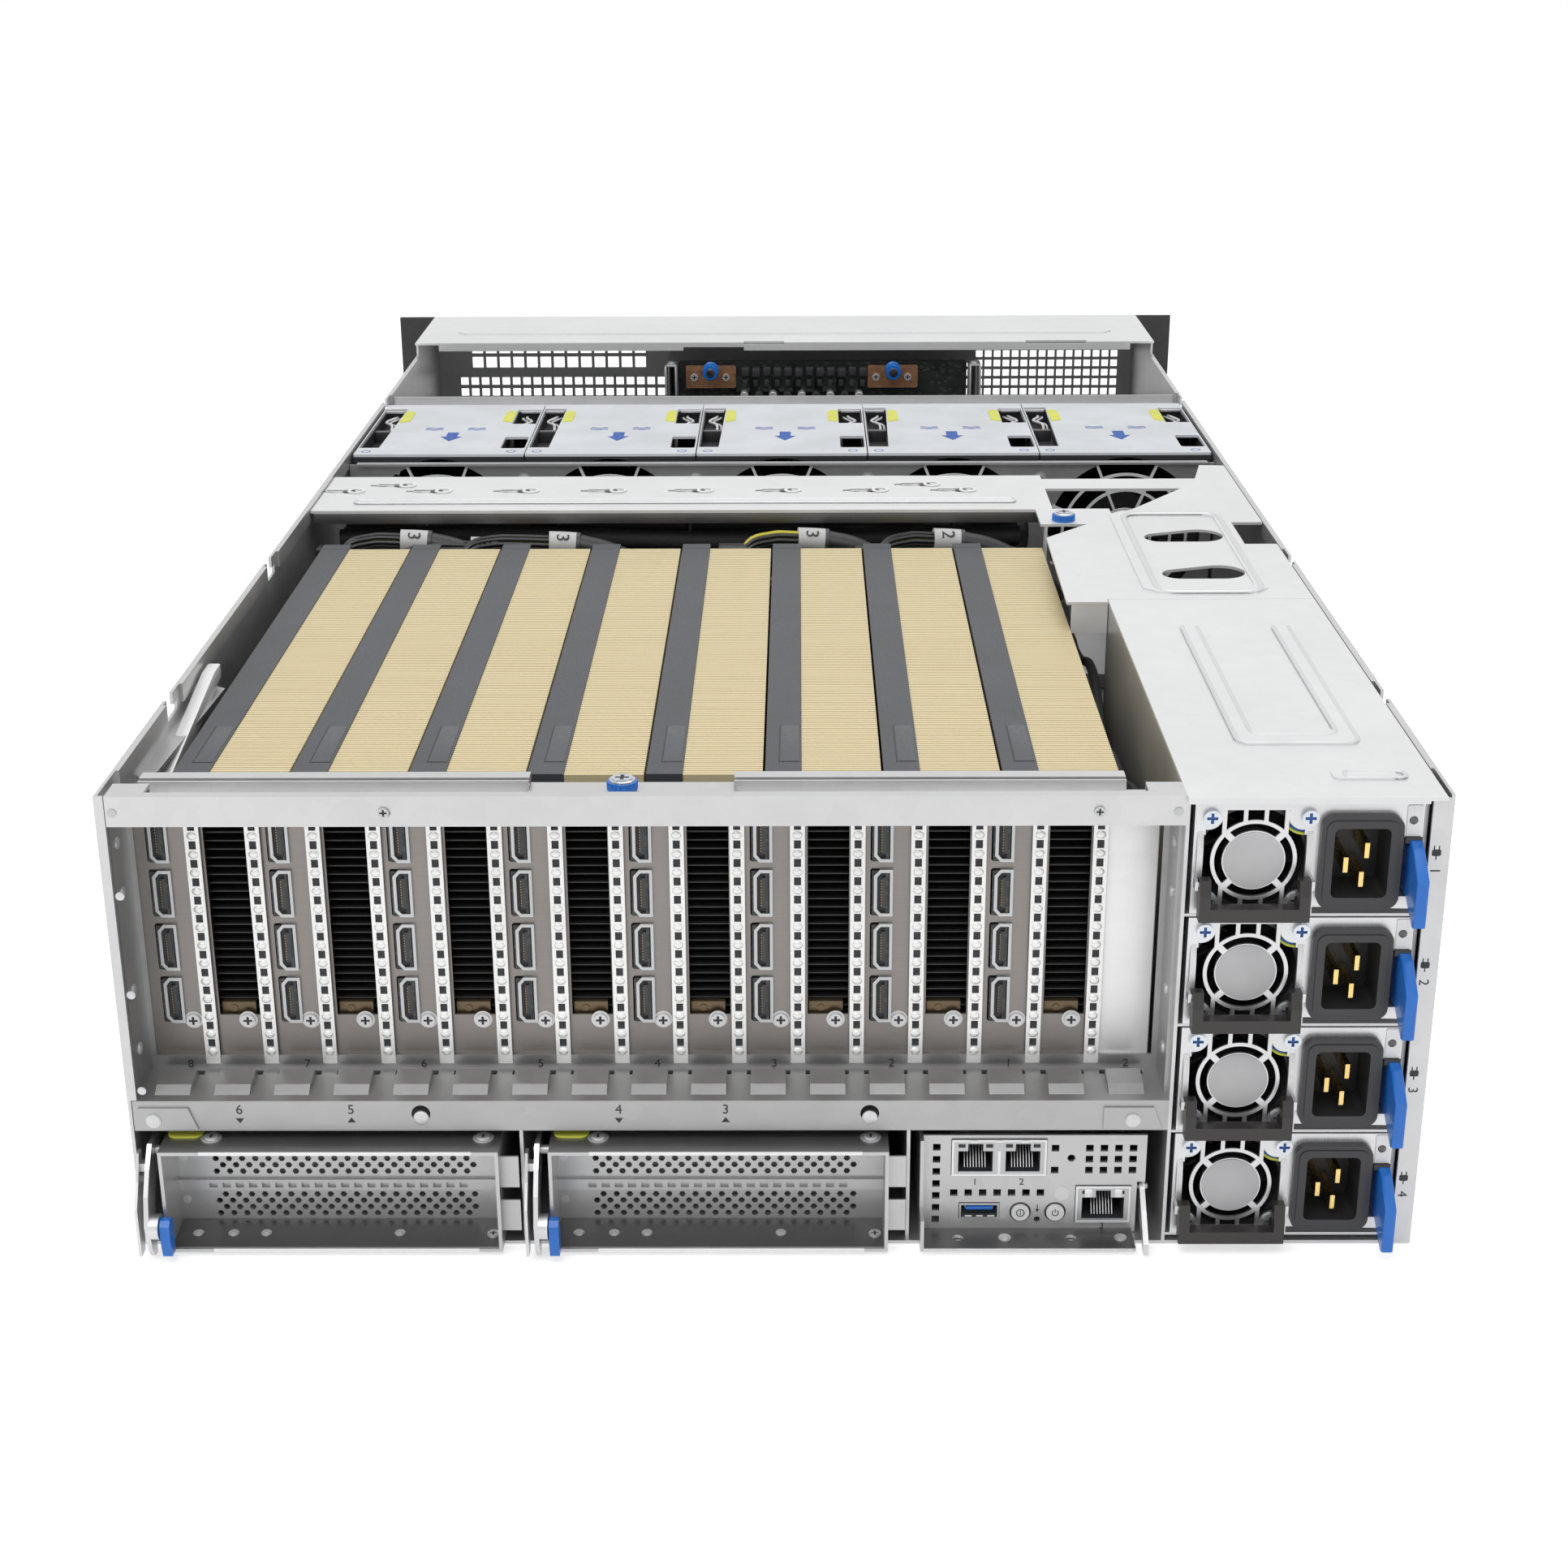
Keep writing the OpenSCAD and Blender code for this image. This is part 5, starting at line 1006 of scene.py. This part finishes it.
def io_dressing():
    """Jack insides, button rings, blue tongue, numbers and fasteners of the I/O panel."""
    lo = node_box("io_tray")[0]
    x0 = lo.x + 1
    face = Y_REAR + 5
    front = face - 0.6

    m = Mesh()
    mid = x0 + 26.3
    jack_inside(m, x0 + 10, mid, 24.3, 38.3, front, 17)
    jack_inside(m, mid, x0 + 42.6, 24.3, 38.3, front, 17)
    one = (x0 + 78.6 - 25.4, x0 + 78.6 - 6.4)
    jack_inside(m, one[0], one[1], 5.7, 20, front, 17)
    m.mat = 2
    for a, b, c, d in ((x0 + 10, x0 + 42.6, 24.3, 38.3), (one[0], one[1], 5.7, 20)):
        m.plate(rect(a, c, b, d), [rect(a + 0.7, c + 0.7, b - 0.7, d - 0.7)], "y", front - 0.22, front + 0.02)
    m.box((mid - 0.5, front - 0.2, 25), (mid + 0.5, front + 0.02, 34), 0.08)
    for x in (x0 + 17.5, mid, x0 + 35.2):
        m.box((x - 1.1, front - 0.5, 37.5), (x + 1.1, front + 0.2, 38.2), 0.1)
    for a in (one[0] + 3, one[1] - 5.6):
        m.box((a, front - 0.5, 15.8), (a + 2.6, front + 0.1, 19.2), 0.2)
        m.turned([(0.8, 0), (0.6, 0.5), (0, 0.6)], (a + 1.3, front - 0.45, 17), (0, -1, 0), 12)
    m.done("jack_parts", "io", [INK_AND_SHADE, PLATE, LIP], "port_metal")

    m = Mesh()
    m.mat = 0
    m.box((x0 + 15.2, front - 0.2, 10.9), (x0 + 24.6, face + 8, 12.1), 0.15)
    m.mat = 1
    m.plate(rect(x0 + 13.6, 7.8, x0 + 26.2, 12.6), [], "y", face + 8, face + 8.2)
    m.mat = 2
    for dx in (15, 18.9, 22.8):
        m.box((x0 + dx, front + 0.1, 7.9), (x0 + dx + 2.4, front + 0.6, 8.4), 0.1)
    m.done("usb_tongue", "io", [BLUE, INK_AND_SHADE, LIP], "blue_plastic")

    m = Mesh()
    m.mat = 0
    m.prism(ring(x0 + 48.5, 16.8, 2.6, 32), "y", face - 0.12, face + 0.02)
    m.done("panel_disc", "io", WHITE, "button_grey")

    m = Mesh()
    digits(m, "1", 2.6, (x0 + 18.2, face - 0.03, 21.4))
    digits(m, "2", 2.6, (x0 + 34.3, face - 0.03, 21.4))
    digits(m, "3", 2.4, (one[0] + 9.5, face - 0.03, 4.0))
    for dx in (34.2, 46.3):
        m.plate(ring(x0 + dx, 9.6, 3.75, 32), [ring(x0 + dx, 9.6, 3.25, 32)], "y", face - 0.1, face + 0.02)
    m.prism([(x0 + 39.4, 10.6), (x0 + 40.8, 10.6), (x0 + 40.1, 9.4)], "y", face - 0.08, face + 0.02)
    m.box((x0 + 39.95, face - 0.08, 10.5), (x0 + 40.25, face + 0.02, 12.4))
    m.done("panel_marks", "io", INK_AND_SHADE, "black_plastic")

    m = Mesh()
    # Painted shade: the ledge plate in the darker tray sheet.
    m.mat = 0
    holes = [ring(x0 + dx, Y_REAR - 1, 2, 16) for dx in (12.4, 51.4)]
    m.plate(rect(x0 + 0.4, Y_REAR - 7.8, x0 + 72.9, Y_REAR + 4.9), holes, "z", lo.z + 1.22, lo.z + 1.36)
    m.mat = 1
    for dx in (28.5, 68.5):
        rivet(m, x0 + dx, Y_REAR - 1.5, "z", lo.z + 1.3, 1, 2.2, 0.9)
    # Painted highlight: a bright strip along the ledge's folded edge.
    m.box((x0, Y_REAR - 8.2, lo.z + 0.1), (x0 + 72, Y_REAR - 7.8, lo.z + 1.3), 0.12)
    m.done("panel_ledge", "io", [SHADED_TRAY_LEDGE, PLATE], "psu_steel")

    for name, sign in (("power_button", True), ("id_button", False)):
        b_lo, b_hi = node_box(name)
        cx, cz = (b_lo.x + b_hi.x) / 2, (b_lo.z + b_hi.z) / 2
        m = Mesh()
        y = b_lo.y - 0.04
        if sign:
            arch = arc(cx, cz, 1.25, 125, 415, 18) + arc(cx, cz, 0.9, 415, 125, 18)
            m.prism(arch, "y", y, y + 0.08)
            m.box((cx - 0.17, y, cz + 0.2), (cx + 0.17, y + 0.08, cz + 1.5))
        else:
            m.plate(ring(cx, cz, 1.5, 24), [ring(cx, cz, 1.15, 24)], "y", y, y + 0.08)
            m.box((cx - 0.18, y, cz - 0.7), (cx + 0.18, y + 0.08, cz + 0.25))
            m.box((cx - 0.18, y, cz + 0.45), (cx + 0.18, y + 0.08, cz + 0.75))
        m.done(f"{name}_mark", name, INK_AND_SHADE, "black_plastic")


upright_screws()
for number in (1, 2):
    riser_dressing(number)
io_dressing()


# ---------------------------------------------------------------- fan modules
FAN_R = 38.5
POCKET_W = 12.2


def fan_case(i):
    """Housing of one fan module: white top with latch pockets, dark body with a round air bore."""
    body = f"fan_module_{i}"
    lo, hi = node_box(body)
    cx, cz = (lo.x + hi.x) / 2, node_box("fan_guards")[0].z + 36.74
    top = hi.z
    y0, y1 = lo.y, hi.y

    m = Mesh()
    left = [(lo.x + 0.6, y0 + 14.5), (lo.x + POCKET_W - 1.5, y0 + 14.5), (lo.x + POCKET_W, y0 + 104),
            (lo.x + 0.6, y0 + 104)]
    upper = rect(hi.x - POCKET_W - 1, y0 + 68, hi.x - 0.6, y0 + 102)
    lower = rounded(hi.x - POCKET_W - 1, y0 + 13, hi.x - 0.9, y0 + 38, 1.6)
    m.plate(rounded(lo.x, y0, hi.x, y1, 0.8), [left, upper, lower], "z", top - 1.3, top)
    m.done(f"fan_{i}_top", body, MODULE, "module_grey")

    m = Mesh()
    outline = rect(lo.x, lo.z, hi.x, top - 1.3)
    for y in (y0, y1 - 2.2):
        m.plate(outline, [ring(cx, cz, FAN_R, 64)], "y", y, y + 2.2)
    m.plate(ring(cx, cz, FAN_R + 1.0, 64), [ring(cx, cz, FAN_R, 64)], "y", y0 + 2.2, y1 - 2.2)
    m.box((lo.x, y0 + 2.2, lo.z), (lo.x + 1.2, y1 - 2.2, top - 1.3))
    m.box((hi.x - 1.2, y0 + 2.2, lo.z), (hi.x, y1 - 2.2, top - 1.3))
    m.box((lo.x + 1.2, y0 + 2.2, lo.z), (hi.x - 1.2, y1 - 2.2, lo.z + 1.2))
    m.prism(ring(cx, cz, 17.5, 48), "y", (y0 + y1) / 2 - 2, (y0 + y1) / 2 + 2)
    m.prism(ring(cx, cz, 3.9, 24), "y", (y0 + y1) / 2 - 41, (y0 + y1) / 2 + 41)
    for a in (45, 135, 225, 315):
        c, s = math.cos(math.radians(a)), math.sin(math.radians(a))
        arm = [(16, -1.5), (FAN_R + 0.6, -1.5), (FAN_R + 0.6, 1.5), (16, 1.5)]
        m.prism([(cx + u * c - v * s, cz + u * s + v * c) for u, v in arm], "y", (y0 + y1) / 2 - 1.6,
                (y0 + y1) / 2 + 1.6)
    for x0, x1, a, b in ((lo.x + 0.4, lo.x + POCKET_W + 0.4, y0 + 13, y0 + 105),
                         (hi.x - POCKET_W - 1.4, hi.x - 0.4, y0 + 12, y0 + 103)):
        m.box((x0, a, top - 8.2), (x1, b, top - 7.6))
        m.box((x0, a, top - 7.6), (x1, a + 0.5, top - 1.3))
        m.box((x0, b - 0.5, top - 7.6), (x1, b, top - 1.3))
    for x in (lo.x + POCKET_W, hi.x - POCKET_W - 1.4):
        m.box((x, y0 + 13, top - 7.6), (x + 0.5, y0 + 104, top - 1.3))
    # Ribs and bosses seen in the pockets
    for x in (lo.x + 6.2, hi.x - 6.6):
        m.box((x - 5, y0 + 58, top - 7.6), (x + 5, y0 + 62, top - 2.0), 0.5)
        m.turned([(2.4, 0), (2.2, 3.2), (0, 3.4)], (x, y0 + 26, top - 7.6), (0, 0, 1), 20)
    shell = m.done(f"fan_{i}_body", body, BLACK, "black_plastic")
    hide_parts(body)

    m = Mesh()
    for x, side in ((lo.x + 6.0, 1), (hi.x - 6.4, -1)):
        coil = [(x + 2.2 * side, y0 + 66, top - 5.5), (x + 2.0 * side, y0 + 74, top - 2.6),
                (x - 1.4 * side, y0 + 79, top - 2.2), (x - 2.0 * side, y0 + 84, top - 2.4),
                (x + 1.0 * side, y0 + 89, top - 2.0), (x + 1.6 * side, y0 + 97, top - 3.2)]
        m.tube(curve_points(coil, 5), 0.75, 8)
        m.tube([(p[0] + 2.2 * side, p[1], p[2] - 0.5) for p in curve_points(coil, 5)], 0.6, 8)
        m.box((x - 5.2, y0 + 99.5, top - 1.5), (x + 5.2, y0 + 101, top - 0.3), 0.2)
    m.done(f"fan_{i}_springs", body, PLATE, "psu_steel")

    m = Mesh()
    for x, w in ((lo.x + POCKET_W + 0.3, 5.4), (hi.x - POCKET_W - 1.3, -5.4)):
        pad = [(x, y0 + 71), (x + w, y0 + 74), (x + w, y0 + 94), (x + w * 0.72, y0 + 97.5), (x, y0 + 97.5)]
        m.prism(pad, "z", top - 0.02, top + 0.35, 0.12)
    m.done(f"fan_{i}_touch_pads", body, YELLOW, "white_sheet")

    m = Mesh()
    ax, ay = cx + 1.5, y0 + 40
    arrow = [(-5.6, 5.6), (0, -4.6), (5.6, 5.6), (2.9, 5.6), (2.9, 15), (-2.9, 15), (-2.9, 5.6)]
    m.prism([(ax + u, ay + v - 7) for u, v in arrow], "z", top - 0.02, top + 0.07)
    for side in (-1, 1):
        for j in range(3):
            wave_y = ay + 13.5 + j * 2.1
            wave = [(ax + side * (6.5 + 1.15 * t), wave_y + 0.75 * math.sin(t * 1.15)) for t in range(9)]
            band = wave + [(px, py + 0.75) for px, py in wave[::-1]]
            m.prism(band, "z", top - 0.02, top + 0.07)
    for x in (lo.x + 5.5, hi.x - 7):
        m.plate(ring(x, y0 + 6, 2.4, 20), [ring(x, y0 + 6, 1.9, 20)], "z", top - 0.02, top + 0.06)
    m.done(f"fan_{i}_arrow", body, INK_BLUE, "blue_plastic")


def fan_wall_screws():
    """Screws between the round windows of the fan wall."""
    m = Mesh()
    lo = node_box("fan_guards")[0]
    for i in range(FAN_COUNT - 1):
        x = lo.x + 36.74 + 43.25 + i * 86.5
        m.mat = 0
        m.prism(ring(x, lo.z + 66, 3.1, 24), "y", lo.y + 1.0, lo.y + 1.32)
        screw(m, x, lo.z + 66, "y", lo.y + 1.0, -1, 2.2, 0.9)
    m.done("fan_wall_screws", "root", [PLATE, INK_AND_SHADE], "galvanised")


for number in range(1, FAN_COUNT + 1):
    fan_case(number)
fan_wall_screws()


# ---------------------------------------------------------------- cable bundles
WIRE = plastic("wire_jacket", (0.018, 0.018, 0.02), 0.42, 900.0, 0.05)
WRAP = plastic("label_wrap", (0.62, 0.62, 0.62), 0.5, 700.0, 0.06)
WIRE_YELLOW = plastic("yellow_wire", (0.70, 0.62, 0.06), 0.42, 900.0, 0.05)


def bundle(m, path, count, yellow, spread, r=0.95):
    """A flat-oval bundle of wires along a path."""
    pts = curve_points(path, 5)
    for k in range(count):
        a = math.tau * k / count
        m.mat = 1 if k in yellow else 0
        m.tube([p + Vector((0, spread * math.cos(a), spread * 0.8 * math.sin(a))) for p in pts], r, 6)


def wrap(m, path, r):
    """A soft paper wrap round a bundle."""
    m.mat = 2
    pts = curve_points(path, 4)
    m.tube(pts, r, 18)
    m.mat = 3
    m.tube(pts[-2:], r + 0.08, 18)


def card_leads():
    """Power leads of the cards where they turn down behind the card ends, with label wraps."""
    y, z = CARD_Y1 + 12.5, CARD_TOP - 4
    m = Mesh()
    marks = Mesh()
    runs = ((-205, -168, "3", (0,)), (-178, -136, "3", (0, 1)), (-150, -100, "3", (0,)),
            (-22, 14, "3", (0, 1, 2)), (40, 76, "2", (0, 1)))
    for n, (x0, x1, text, yellow) in enumerate(runs):
        lift = (2.5, -1.0, 1.5, 3.0, 2.5)[n]
        path = [(x0, y - 9, z - 16), (x0 + 7, y - 5, z - 3 + lift), (x0 + 18, y - 1, z + lift),
                ((x0 + x1) / 2 + 8, y, z + lift), (x1, y + 1, z + lift - 1)]
        bundle(m, path, 8, yellow, 3.4)
        tail = [(x1 - 6, y + 1, z + lift - 0.6), (x1 + 8, y + 2, z + lift - 1.6)]
        wrap(m, [tail[0], (x1 + 1, y + 1.6, z + lift - 1), tail[1]], 5.4)
        s = math.sqrt(0.5)
        middle = Vector((x1 + 0.5, y + 1.4, z + lift - 1.0))
        digits(marks, text, 6.0, middle + 5.45 * Vector((0, -s, s)), (0, -s, -s), (1, 0, 0), 0.1)
        m.mat = 0
        fall = [tail[1], (x1 + 22, y + 1, z + lift - 5), (x1 + 40, y - 1, z - 12), (x1 + 52, y - 2, z - 26)]
        m.tube(curve_points(fall, 5), 4.6, 14)
        # Socket housing on the card end
        m.box((x0 - 6, y - 12, z - 12 + lift), (x0 + 7, y - 3, z - 1 + lift), 0.7)
        for j in range(5):
            rib_x = x0 - 5 + j * 2.4
            m.box((rib_x, y - 3.2, z - 11 + lift), (rib_x + 1.4, y - 2.7, z - 2 + lift), 0.2)
    m.done("card_lead_bundles", "root", [WIRE, WIRE_YELLOW, WRAP, TONGUE], "cable_black")
    marks.done("wrap_numbers", "root", INK_AND_SHADE, "black_plastic")


def side_leads():
    """Dark leads that fill the gap between the last card and the supply cage."""
    x0 = CARD_X[-1] + CARD_W + 1.5
    m = Mesh()
    for k in range(9):
        dx = 1.4 + (k % 3) * 4.3
        z = 92 + (k // 3) * 17
        wave = [(x0 + dx + 1.2 * math.sin(0.9 * j + k), CARD_Y0 + 20 + 30 * j,
                 z + 7 * math.sin(1.3 * j + 1.7 * k)) for j in range(10)]
        m.mat = 1 if k == 4 else 0
        m.tube(curve_points(wave, 4), 2.0 if k != 4 else 1.1, 9)
    m.done("side_leads", "root", [SLEEVE, WIRE_YELLOW], "cable_black")


card_leads()
side_leads()


# ---------------------------------------------------------------- leads under the brace
def harness():
    """Sleeved leads that cross under the brace, tied in places."""
    m = Mesh()
    x0, x1 = IN_L + 12, 112
    for k in range(7):
        y = -24 + (k % 4) * 8.5
        z = CARD_TOP - 8 - (k // 4) * 9 - (k % 2) * 3
        path = [(x0 + j * (x1 - x0) / 9, y + 1.6 * math.sin(1.1 * j + k),
                 z + 1.5 * math.sin(0.8 * j + 2.1 * k)) for j in range(10)]
        m.mat = 0
        m.tube(curve_points(path, 4), 4.2, 12)
    m.mat = 1
    for j in range(5):
        x = x0 + 40 + j * 62
        m.tube([(x, -27, CARD_TOP - 5), (x, -10, CARD_TOP - 2.4), (x, 6, CARD_TOP - 5)], 0.8, 6)
    m.done("brace_harness", "root", [SLEEVE, TONGUE], "cable_black")


# ---------------------------------------------------------------- cards and walls
SHROUD_PANEL = plastic("shroud_panel", (0.078, 0.082, 0.092), 0.46, 1300.0, 0.08)


def shroud_panels():
    """A shallow panel with a turned line near the rear of each dark strip, and a joint line."""
    m = Mesh()
    for x in CARD_X:
        y0 = CARD_Y0
        m.mat = 0
        sticker = [(x + 5.2, y0 + 12), (x + 11.6, y0 + 12), (x + 11.6, y0 + 48), (x + 6.4, y0 + 48),
                   (x + 5.2, y0 + 46.8)]
        m.prism(sticker, "z", CARD_TOP - 0.02, CARD_TOP + 0.14, 0.06)
        m.mat = 1
        m.box((x + 4.6, y0 + 11.4, CARD_TOP - 0.02), (x + 12.2, y0 + 11.8, CARD_TOP + 0.05))
        m.box((x + 4.6, y0 + 11.4, CARD_TOP - 0.02), (x + 5.0, y0 + 48.6, CARD_TOP + 0.05))
        m.box((x + 0.3, CARD_Y1 - 7.5, CARD_TOP - 0.02), (x + 12.2, CARD_Y1 - 7.1, CARD_TOP + 0.05))
    m.done("shroud_panels", "root", [SHROUD_PANEL, INK_AND_SHADE], "shroud")


def supply_marks():
    """A plug picture and a plain number beside each supply."""
    m = Mesh()
    x = X_R - 4.4
    for k in range(1, PSU_COUNT + 1):
        z = node_box(f"psu_{k}_case")[0].z + 21.3
        y = Y_REAR - 0.05
        m.prism(rounded(x - 1.5, z - 1.0, x + 1.5, z + 1.3, 0.6), "y", y, y + 0.1)
        for dx in (-0.8, 0.8):
            m.box((x + dx - 0.2, y, z + 1.3), (x + dx + 0.2, y + 0.1, z + 2.6))
        m.box((x - 0.2, y, z - 2.3), (x + 0.2, y + 0.1, z - 1.0))
        digits(m, str(k), 3.4, (x, Y_REAR - 0.03, z - 6.2), (0, 0, -1), (1, 0, 0))
    m.done("supply_marks", "root", INK_AND_SHADE, "black_plastic")


def flange_fasteners():
    """Rivets on the rear flanges and side walls, and the posts of the wall rails."""
    m = Mesh()
    for z in (26, 60, 96, 132):
        rivet(m, X_L + 3.4 + 2.0, z, "y", Y_REAR + 0.02, -1, 1.5, 0.35)
    for side, x in ((-1, X_L), (1, X_R)):
        for y in (-372, -210, -60, 90, 240, 372):
            for z in (18, 148):
                rivet(m, y, z, "x", x, side, 2.4, 0.5)
        for y in (-300, -60, 180):
            z = 88
            post = [(5.2, -0.1), (5.2, 0.9), (4.6, 1.3), (2.3, 1.3), (2.1, 0.5), (0, 0.5)]
            m.turned(post, (x, y, z), (side, 0, 0), 28)
    m.done("wall_rivets", "root", PLATE, "galvanised")


def wall_rail():
    """The pale slanted rail inside the left wall."""
    m = Mesh()
    m.prism([(-352, 128), (-344, 148), (-262, 163), (-252, 163), (-252, 158), (-338, 142), (-346, 126)], "x",
            IN_L + 2.2, IN_L + 7.2, 0.8)
    m.done("wall_rail", "root", LIP, "white_sheet")


# ---------------------------------------------------------------- front bay
def bay_parts():
    """Copper pads, sockets, capacitors and small parts on the rear of the drive backplane."""
    m = Mesh()
    y = BAY_Y
    z = BAY_HI.z
    for x in BAY_SCREW_X:
        m.mat = 0
        tab = rounded(x - 15, z - 14.5, x + 15, z - 0.8, 1.2)
        m.plate(tab, [ring(x, z - 3, 2.6, 20)], "y", y - 0.5, y - 0.05)
        m.mat = 1
        for dx in (-10, 9):
            screw(m, x + dx, z - 8, "y", y - 0.5, -1, 2.2, 0.9, 1, 3)
    m.mat = 2
    for j in range(12):
        x = BAY_SCREW_X[0] + 18.5 + j * 6.4
        tall = (4.5, 7, 3.2, 5.5)[j % 4]
        m.box((x, y - tall, z - 6.5), (x + 4.4, y - 0.05, z - 1.5), 0.3)
        m.box((x + 0.6, y - 2.5, z - 13.2), (x + 3.4, y - 0.05, z - 9.2), 0.3)
    m.mat = 1
    for j in range(9):
        x = BAY_SCREW_X[0] + 20 + j * 8.6
        m.turned([(2.4, 0.1), (2.4, -6.5), (2.0, -7.0), (0, -7.0)], (x, y, z - 18), (0, 1, 0), 18)
        m.mat = 3 if m.mat == 1 else 1
    m.done("backplane_parts", "root", [COPPER, PLATE, TONGUE, INK_AND_SHADE], "board_dark")


def guide_posts():
    """Bright guides at both sides of the drive cage."""
    m = Mesh()
    for x, s in ((BAY_LO.x - 4, -1), (BAY_HI.x + 4, 1)):
        m.mat = 0
        m.box((x - 3.5, BAY_Y - 16, BAY_HI.z - 22), (x - 2.5, BAY_Y + 4, BAY_HI.z + 1), 0.2)
        m.box((x + 2.5, BAY_Y - 14, BAY_HI.z - 22), (x + 3.5, BAY_Y + 4, BAY_HI.z + 1), 0.2)
        m.box((x - 3.5, BAY_Y - 8, BAY_HI.z - 0.2), (x + 3.5, BAY_Y + 4, BAY_HI.z + 1), 0.3)
        m.mat = 1
        screw(m, x, BAY_Y - 2, "z", BAY_HI.z + 1, 1, 2.0, 0.8, 0, 1)
    m.done("bay_guides", "root", [PLATE, INK_AND_SHADE], "galvanised")


harness()
shroud_panels()
supply_marks()
flange_fasteners()
wall_rail()
bay_parts()
guide_posts()


# ---------------------------------------------------------------- pressed shapes of the covers
# A little darker than the pale covers: painted shade along the pressed beads.
BEAD_SHADE = galvanised("bead_painted_shade", (0.72, 0.725, 0.73), metal=0.35, spangle=0.03)
LID_TOP = WALL_TOP


def bead(m, points, z, closed=False, w=1.5, h=0.75):
    """A pressed bead of flat-arch section along points on a level sheet."""
    pts = [Vector((p[0], p[1], 0)) for p in points]
    n = len(pts)
    section = [(-w, -0.05), (-w * 0.55, h * 0.75), (0, h), (w * 0.55, h * 0.75), (w, -0.05)]
    rows = []
    for i, p in enumerate(pts):
        a = pts[i - 1] if (i or closed) else p
        b = pts[(i + 1) % n] if (i < n - 1 or closed) else p
        run = (b - a).normalized()
        side = Vector((-run.y, run.x, 0))
        rows.append([m.bm.verts.new(p + side * u + Vector((0, 0, z + v))) for u, v in section])
    pairs = list(zip(rows, rows[1:])) + ([(rows[-1], rows[0])] if closed else [])
    faces = []
    for p, q in pairs:
        faces += [m.bm.faces.new((p[k], p[k + 1], q[k + 1], q[k])) for k in range(4)]
        faces.append(m.bm.faces.new((p[4], p[0], q[0], q[4])))
    if not closed:
        faces += [m.bm.faces.new(rows[0]), m.bm.faces.new(rows[-1])]
    bmesh.ops.recalc_face_normals(m.bm, faces=faces)
    m.paint(faces)


def soft_path(points, r, closed=False, n=5):
    """A path with rounded corners."""
    pts = [Vector((p[0], p[1])) for p in points]
    out = []
    last = len(pts)
    for i, p in enumerate(pts):
        if not closed and i in (0, last - 1):
            out.append(tuple(p))
            continue
        a, b = pts[i - 1], pts[(i + 1) % last]
        u, v = (a - p).normalized(), (b - p).normalized()
        cut = min(r, (a - p).length / 2.1, (b - p).length / 2.1)
        for k in range(n + 1):
            t = k / n
            out.append(tuple(p + u * cut * (1 - t) ** 2 + v * cut * t ** 2))
    return out


def cover_beads():
    """Beads on the supply cover, the cable cover, the brace and the front cover: real raised beads, in a
    darker sheet as painted shade.
    """
    lo, hi = node_box("psu_cage_cover")
    x0, x1 = lo.x + 23.8, hi.x - 17.6
    rib, y0, y1 = 6.5, Y_REAR + 46, lo.y + 180
    z = LID_TOP + 0.68
    m = Mesh()
    u_shape = [(x0 + rib / 2, y1 - 2), (x0 + rib / 2, y0 + 5), (x1 - rib / 2, y0 + 5), (x1 - rib / 2, y1 - 2)]
    for side in (-1, 1):
        grow = side * (rib / 2 - 0.4)
        path = [(u_shape[0][0] - grow, y1), (u_shape[0][0] - grow, u_shape[1][1] - grow * 1.4),
                (u_shape[2][0] + grow, u_shape[2][1] - grow * 1.4), (u_shape[3][0] + grow, y1)]
        bead(m, soft_path(path, 5), z, False, 0.9, 0.5)
    short = rect(x1 - 12, Y_REAR + 14, x1 + 8, Y_REAR + 20)
    bead(m, soft_path(short, 2.5, True), z, True, 0.8, 0.5)
    c_lo, c_hi = node_box("cable_cover")
    left, right, near, far = c_lo.x + 38.5, c_hi.x - 18.5, c_lo.y + 12.5, c_lo.y + 135.5
    frame_path = soft_path(rect(left, near, right, far), 9, True)
    bead(m, frame_path, z, True, 1.5, 0.8)
    rib_y = -23.0
    rib_path = soft_path(rect(IN_L + 20, rib_y - 2.4, 109, rib_y + 3.2), 2, True)
    bead(m, rib_path, LID_TOP - 1.0 + 0.3, True, 1.0, 0.7)
    f_lo, f_hi = node_box("front_cover")
    panel = soft_path(rect(X_L + 24, f_lo.y + 28, X_R - 24, Y_FRONT - 16), 8, True)
    bead(m, panel, f_hi.z - 0.72, True, 1.6, 0.66)
    m.done("cover_beads", "root", BEAD_SHADE, "white_sheet", 50)


def keyhole_rims():
    """Dished rims round the wide ends of the brace keyholes, with strips along the slots, in a paler sheet as
    painted highlight.
    """
    m = Mesh()
    first, step = IN_L + 13, 41.5
    spots = [(first + k * step, -2.0) for k in range(8)] + [(first + k * step, 9.0) for k in (0.55, 6.6)]
    z = LID_TOP - 1.0
    for x, y in spots:
        m.plate(arc(x + 3.6, y, 4.4, -150, 150, 16), [ring(x + 3.8, y, 2.7, 16)], "z", z - 0.05, z + 0.35)
        m.box((x - 10.5, y - 1.9, z - 0.05), (x - 2.2, y - 1.1, z + 0.3), 0.12)
        m.box((x - 10.5, y + 1.1, z - 0.05), (x - 2.2, y + 1.9, z + 0.3), 0.12)
    m.done("keyhole_rims", "root", LIP, "white_sheet")


cover_beads()
keyhole_rims()


BRACE_REAR = -38.0


def brace_shadow_edge():
    """Painted shade on the brace's rear flange, over the card ends: a dark strip where the flange lies in
    shadow.
    """
    hi = node_box("cross_brace")[1]
    m = Mesh()
    m.box((IN_L + 3, BRACE_REAR - 0.2, LID_TOP - 7.4), (hi.x - 94, BRACE_REAR + 0.05, LID_TOP - 2.5), 0.1)
    m.done("brace_flange_painted_shade", "root", SHADED_TRAY_LEDGE, "white_sheet")


brace_shadow_edge()
